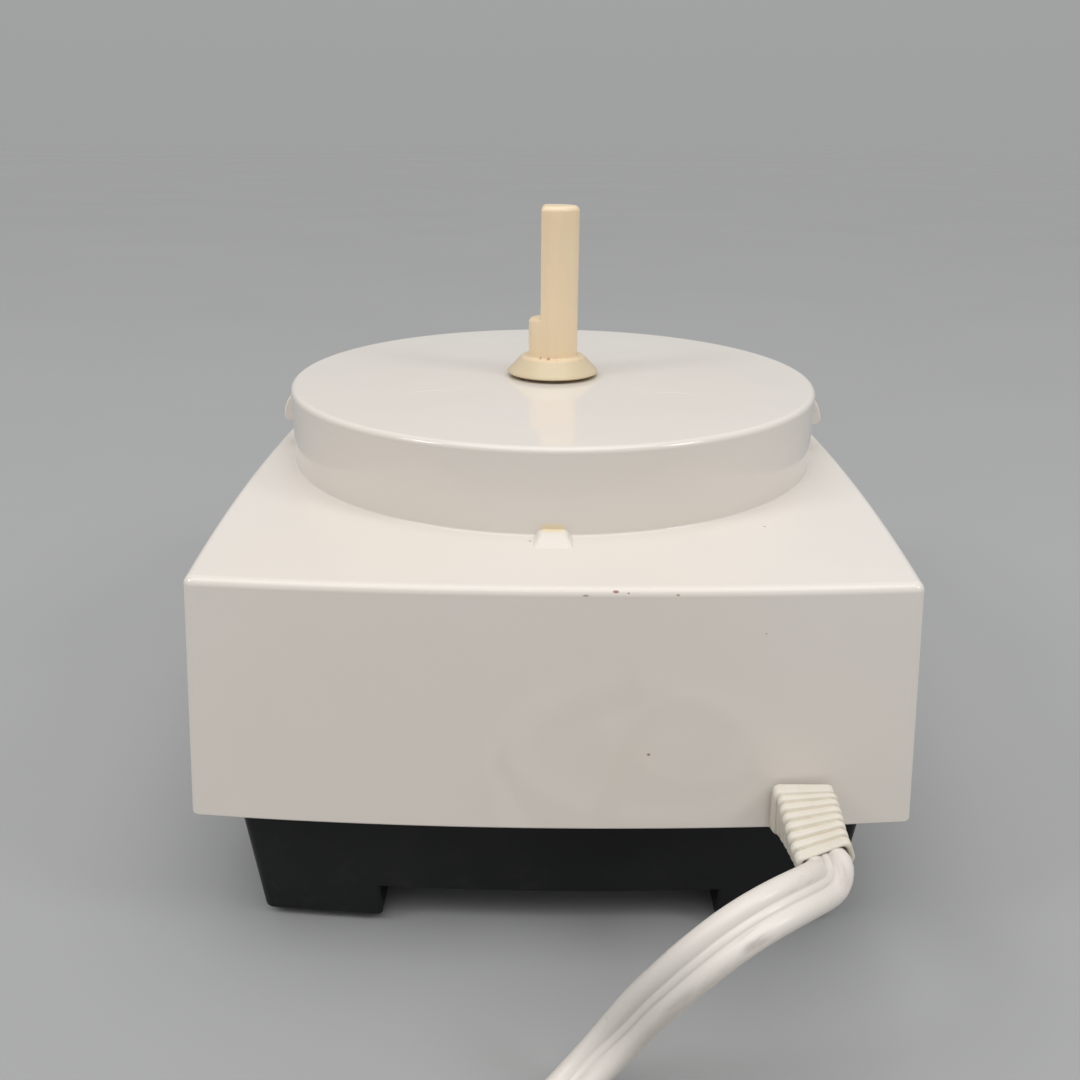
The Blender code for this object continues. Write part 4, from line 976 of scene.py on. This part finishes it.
def ivory_vinyl():
    """Soft moulded vinyl: satin, slightly mottled, with painted shade in the grooves between its ribs."""
    f = Finish("ivory_vinyl", 0.48)
    colour = f.mix(f.ramp(f.noise(90, 4), 0.3, 0.75), (0.69, 0.648, 0.575), (0.63, 0.584, 0.497))
    # Painted shade: the grooves between the ribs and the inside of the mouth are darkened towards brown.
    groove = f.times(f.attribute("groove"), f.ramp(f.noise(240, 4), 0.3, 0.65, 0.4, 1.0))
    colour = f.mix(f.times(groove, 0.75), colour, (0.46, 0.38, 0.24))
    dirt = f.ramp(f.noise(600, 5, 0.7), 0.63, 0.75, 0.0, 0.4)
    colour = f.mix(dirt, colour, (0.40, 0.34, 0.25))
    f.set("Base Color", colour)
    f.set("Roughness", f.ramp(f.noise(150, 3), 0.3, 0.75, 0.42, 0.58))
    f.glow(0.08, (0.002, 0.0014, 0.001))
    f.bump((f.noise(1300, 3), 0.000012), (f.noise(170, 2), 0.00006))
    return f.material


def cord_vinyl():
    """Extruded vinyl: smooth satin with grey handling marks that run along it, and painted shade in its
    grooves.
    """
    f = Finish("cord_vinyl", 0.33)
    colour = f.mix(f.ramp(f.noise(35, 3), 0.3, 0.75), (0.715, 0.675, 0.635), (0.675, 0.630, 0.575))
    along = f.node("CombineXYZ", {0: f.times(f.attribute("along"), 55.0),
                                  1: f.times(f.attribute("round"), 9.0)}).outputs[0]
    scuff = f.times(f.ramp(f.noise(1, 6, 0.7, along), 0.56, 0.80), f.ramp(f.noise(14, 2), 0.42, 0.60))
    uneven = f.ramp(f.noise(5, 4, 0.6, along), 0.35, 0.65, 0.35, 1.0)
    for walked, reach, turn, width, depth in CORD_SMUDGES:
        off = [f.math('DIVIDE', f.math('SUBTRACT', f.attribute(name), middle), span)
               for name, middle, span in (("along", walked, reach), ("round", turn, width))]
        far = f.math('SQRT', f.math('ADD', f.math('POWER', f.math('ABSOLUTE', off[0]), 2.0),
                                    f.math('POWER', f.math('ABSOLUTE', off[1]), 2.0)))
        smudge = f.times(f.ramp(far, 0.25, 1.0, depth, 0.0), uneven)
        scuff = f.math('MAXIMUM', scuff, smudge)
    colour = f.mix(f.times(scuff, 0.55), colour, (0.30, 0.25, 0.24))
    # Painted shade along the grooves beside the web.
    line = f.times(f.attribute("groove"), 0.28)
    colour = f.mix(line, colour, (0.45, 0.41, 0.36))
    f.set("Base Color", colour)
    f.set("Roughness", f.ramp(f.noise(80, 4), 0.3, 0.75, 0.27, 0.42))
    f.glow(0.06, (0.002, 0.0016, 0.0012))
    f.bump((f.noise(1, 3, 0.5, along), 0.00004), (f.noise(900, 2), 0.000006))
    return f.material


def plain_finish(name, light, dark, roughness, metallic, scale, height, stretch=(1.0, 1.0, 1.0)):
    """A finish with two close tones, uneven gloss and a fine grain that may run one way."""
    f = Finish(name, roughness, metallic)
    grain = f.noise(scale, 5, 0.6, f.stretched(*stretch))
    f.set("Base Color", f.mix(f.ramp(grain, 0.3, 0.75), light, dark))
    f.set("Roughness", f.ramp(f.noise(scale * 0.3, 3), 0.3, 0.75, roughness * 0.85, roughness * 1.2))
    f.bump((grain, height))
    return f.material


PLAIN_FINISHES = {
    "black_rubber": ((0.020, 0.020, 0.021), (0.034, 0.033, 0.032), 0.75, 0.0, 260, 0.00003),
    "steel": ((0.60, 0.60, 0.61), (0.48, 0.48, 0.50), 0.3, 1.0, 240, 0.000006, (1.0, 1.0, 0.1)),
    "laminated_steel": ((0.36, 0.36, 0.38), (0.24, 0.24, 0.26), 0.5, 0.9, 900, 0.00005, (0.04, 0.04, 1.0)),
    "cast_aluminium": ((0.66, 0.67, 0.68), (0.52, 0.53, 0.55), 0.45, 1.0, 520, 0.00004),
    "bronze": ((0.56, 0.40, 0.22), (0.40, 0.27, 0.14), 0.4, 1.0, 700, 0.00001),
    "copper": ((0.62, 0.26, 0.12), (0.42, 0.15, 0.07), 0.36, 0.9, 1100, 0.00012, (1.0, 1.0, 0.25)),
    "brass": ((0.76, 0.60, 0.31), (0.62, 0.46, 0.21), 0.28, 1.0, 420, 0.000008, (0.15, 1.0, 1.0)),
    "black_plastic": ((0.022, 0.022, 0.024), (0.036, 0.036, 0.038), 0.45, 0.0, 420, 0.00002),
    "grey_plastic": ((0.42, 0.42, 0.43), (0.35, 0.35, 0.36), 0.5, 0.0, 420, 0.00001),
    "blue_plastic": ((0.06, 0.16, 0.36), (0.045, 0.12, 0.29), 0.42, 0.0, 420, 0.00001),
    "board": ((0.43, 0.31, 0.15), (0.33, 0.22, 0.10), 0.6, 0.0, 900, 0.00001, (1.0, 0.1, 1.0)),
}


def make_finishes():
    """Every finish by the name of its slot in the record."""
    finishes = {maker.__name__: maker() for maker in
                (white_plastic, charcoal_plastic, cream_plastic, ivory_vinyl, cord_vinyl)}
    for name, values in PLAIN_FINISHES.items():
        finishes[name] = plain_finish(name, *values)
    return finishes


# ---- studio

FLOOR_TONES = (0.345, 0.348, 0.352), (0.335, 0.338, 0.342)
SKY_HORIZON, SKY_TOP = 0.358, 0.50
KEY_POWER, KEY_SPREAD, KEY_AT = 1.62, 60.0, (0.0, 0.5, 1.9)
GLINT_SIZE, GLINT_POWER, GLINT_AT = 0.32, 3.0, (0.93, 0.49, 0.95)


def aimed(kind, name, power, at, aim):
    """A light of some kind at one place, turned towards another."""
    data = bpy.data.lights.new(name, kind)
    data.energy = power
    light = bpy.data.objects.new(name, data)
    bpy.context.collection.objects.link(light)
    light.location = at
    light.rotation_mode = 'QUATERNION'
    light.rotation_quaternion = (Vector(aim) - Vector(at)).to_track_quat('-Z', 'Y')
    return data


def make_sky():
    """An even studio sky, as bright at the horizon as the lit floor and brighter overhead."""
    world = bpy.data.worlds.new("studio")
    bpy.context.scene.world = world
    world.use_nodes = True
    nodes, links = world.node_tree.nodes, world.node_tree.links
    way = nodes.new("ShaderNodeSeparateXYZ")
    links.new(nodes.new("ShaderNodeTexCoord").outputs["Generated"], way.inputs[0])
    rise = nodes.new("ShaderNodeMapRange")
    rise.interpolation_type = 'SMOOTHSTEP'
    for name, value in {"From Max": 0.8, "To Min": SKY_HORIZON, "To Max": SKY_TOP}.items():
        rise.inputs[name].default_value = value
    links.new(way.outputs["Z"], rise.inputs["Value"])
    sky = nodes["Background"]
    sky.inputs["Color"].default_value = (0.985, 0.99, 1.0, 1.0)
    links.new(rise.outputs["Result"], sky.inputs["Strength"])


def make_studio():
    """Plain pale floor and sky, one very wide soft light from above, and two small side lights."""
    bm = bmesh.new()
    bmesh.ops.create_circle(bm, cap_ends=True, segments=96, radius=20000.0)
    floor = new_object("floor", bm)
    floor.data.materials.append(plain_finish("floor", *FLOOR_TONES, 0.8, 0.0, 3.0, 0.0))
    make_sky()
    key = aimed('SUN', "key", KEY_POWER, KEY_AT, (0.0, 0.0, 0.0))
    key.angle = math.radians(KEY_SPREAD)
    key.color = (1.0, 0.985, 0.965)
    x, y, z = GLINT_AT
    for side in (-1, 1):
        aimed('AREA', "glint", GLINT_POWER, (side * x, y, z), (0.0, 0.02, 0.1)).size = GLINT_SIZE
    settings = bpy.context.scene.view_settings
    settings.view_transform = 'Standard'
    settings.look = 'None'


# ---- run

def place(piece, body, slot, *nodes):
    """Ride a piece on its body, let it stand for its CAD nodes and name its material slot."""
    even_normals(piece)
    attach(piece, body)
    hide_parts(*nodes)
    piece.data.materials.clear()
    piece.data.materials.append(FINISHES[slot])
    return piece


FINISHES = make_finishes()
for part in frame["record"]["subparts"]:
    node = frame["nodes"][part["node"]]
    for holder in node.material_slots:
        holder.material = FINISHES[part["material_slot"]]
make_camera()
cord, cord_line = make_cord()
place(cord, "base", "cord_vinyl", "power_cord", "cord_coil", "plug_lead")
place(make_tie(), "base", "black_plastic", "cord_tie")
place(make_plug(), "base", "cord_vinyl", "plug_body")
place(make_blade(1, -1), "base", "brass", "plug_blade_1")
place(make_blade(2, 1), "base", "brass", "plug_blade_2")
place(make_boot(), "base", "ivory_vinyl", "strain_relief")
place(make_housing(), "base", "white_plastic", "housing")
place(make_base(), "base", "charcoal_plastic", "base_pan")
for number, at in enumerate(four_ways(PAD_CENTRE), 1):
    place(make_pad(number, at), "base", "black_rubber", f"foot_pad_{number}")
place(make_sheath(), "drive", "cream_plastic", "drive_sheath")
place(make_lever("paddle_on", LEVER_X), "on_lever", "white_plastic", "on_lever")
place(make_lever("paddle_pulse", -LEVER_X), "pulse_lever", "white_plastic", "pulse_lever")
place(make_rod(), "interlock_rod", "white_plastic", "interlock_rod")
make_studio()
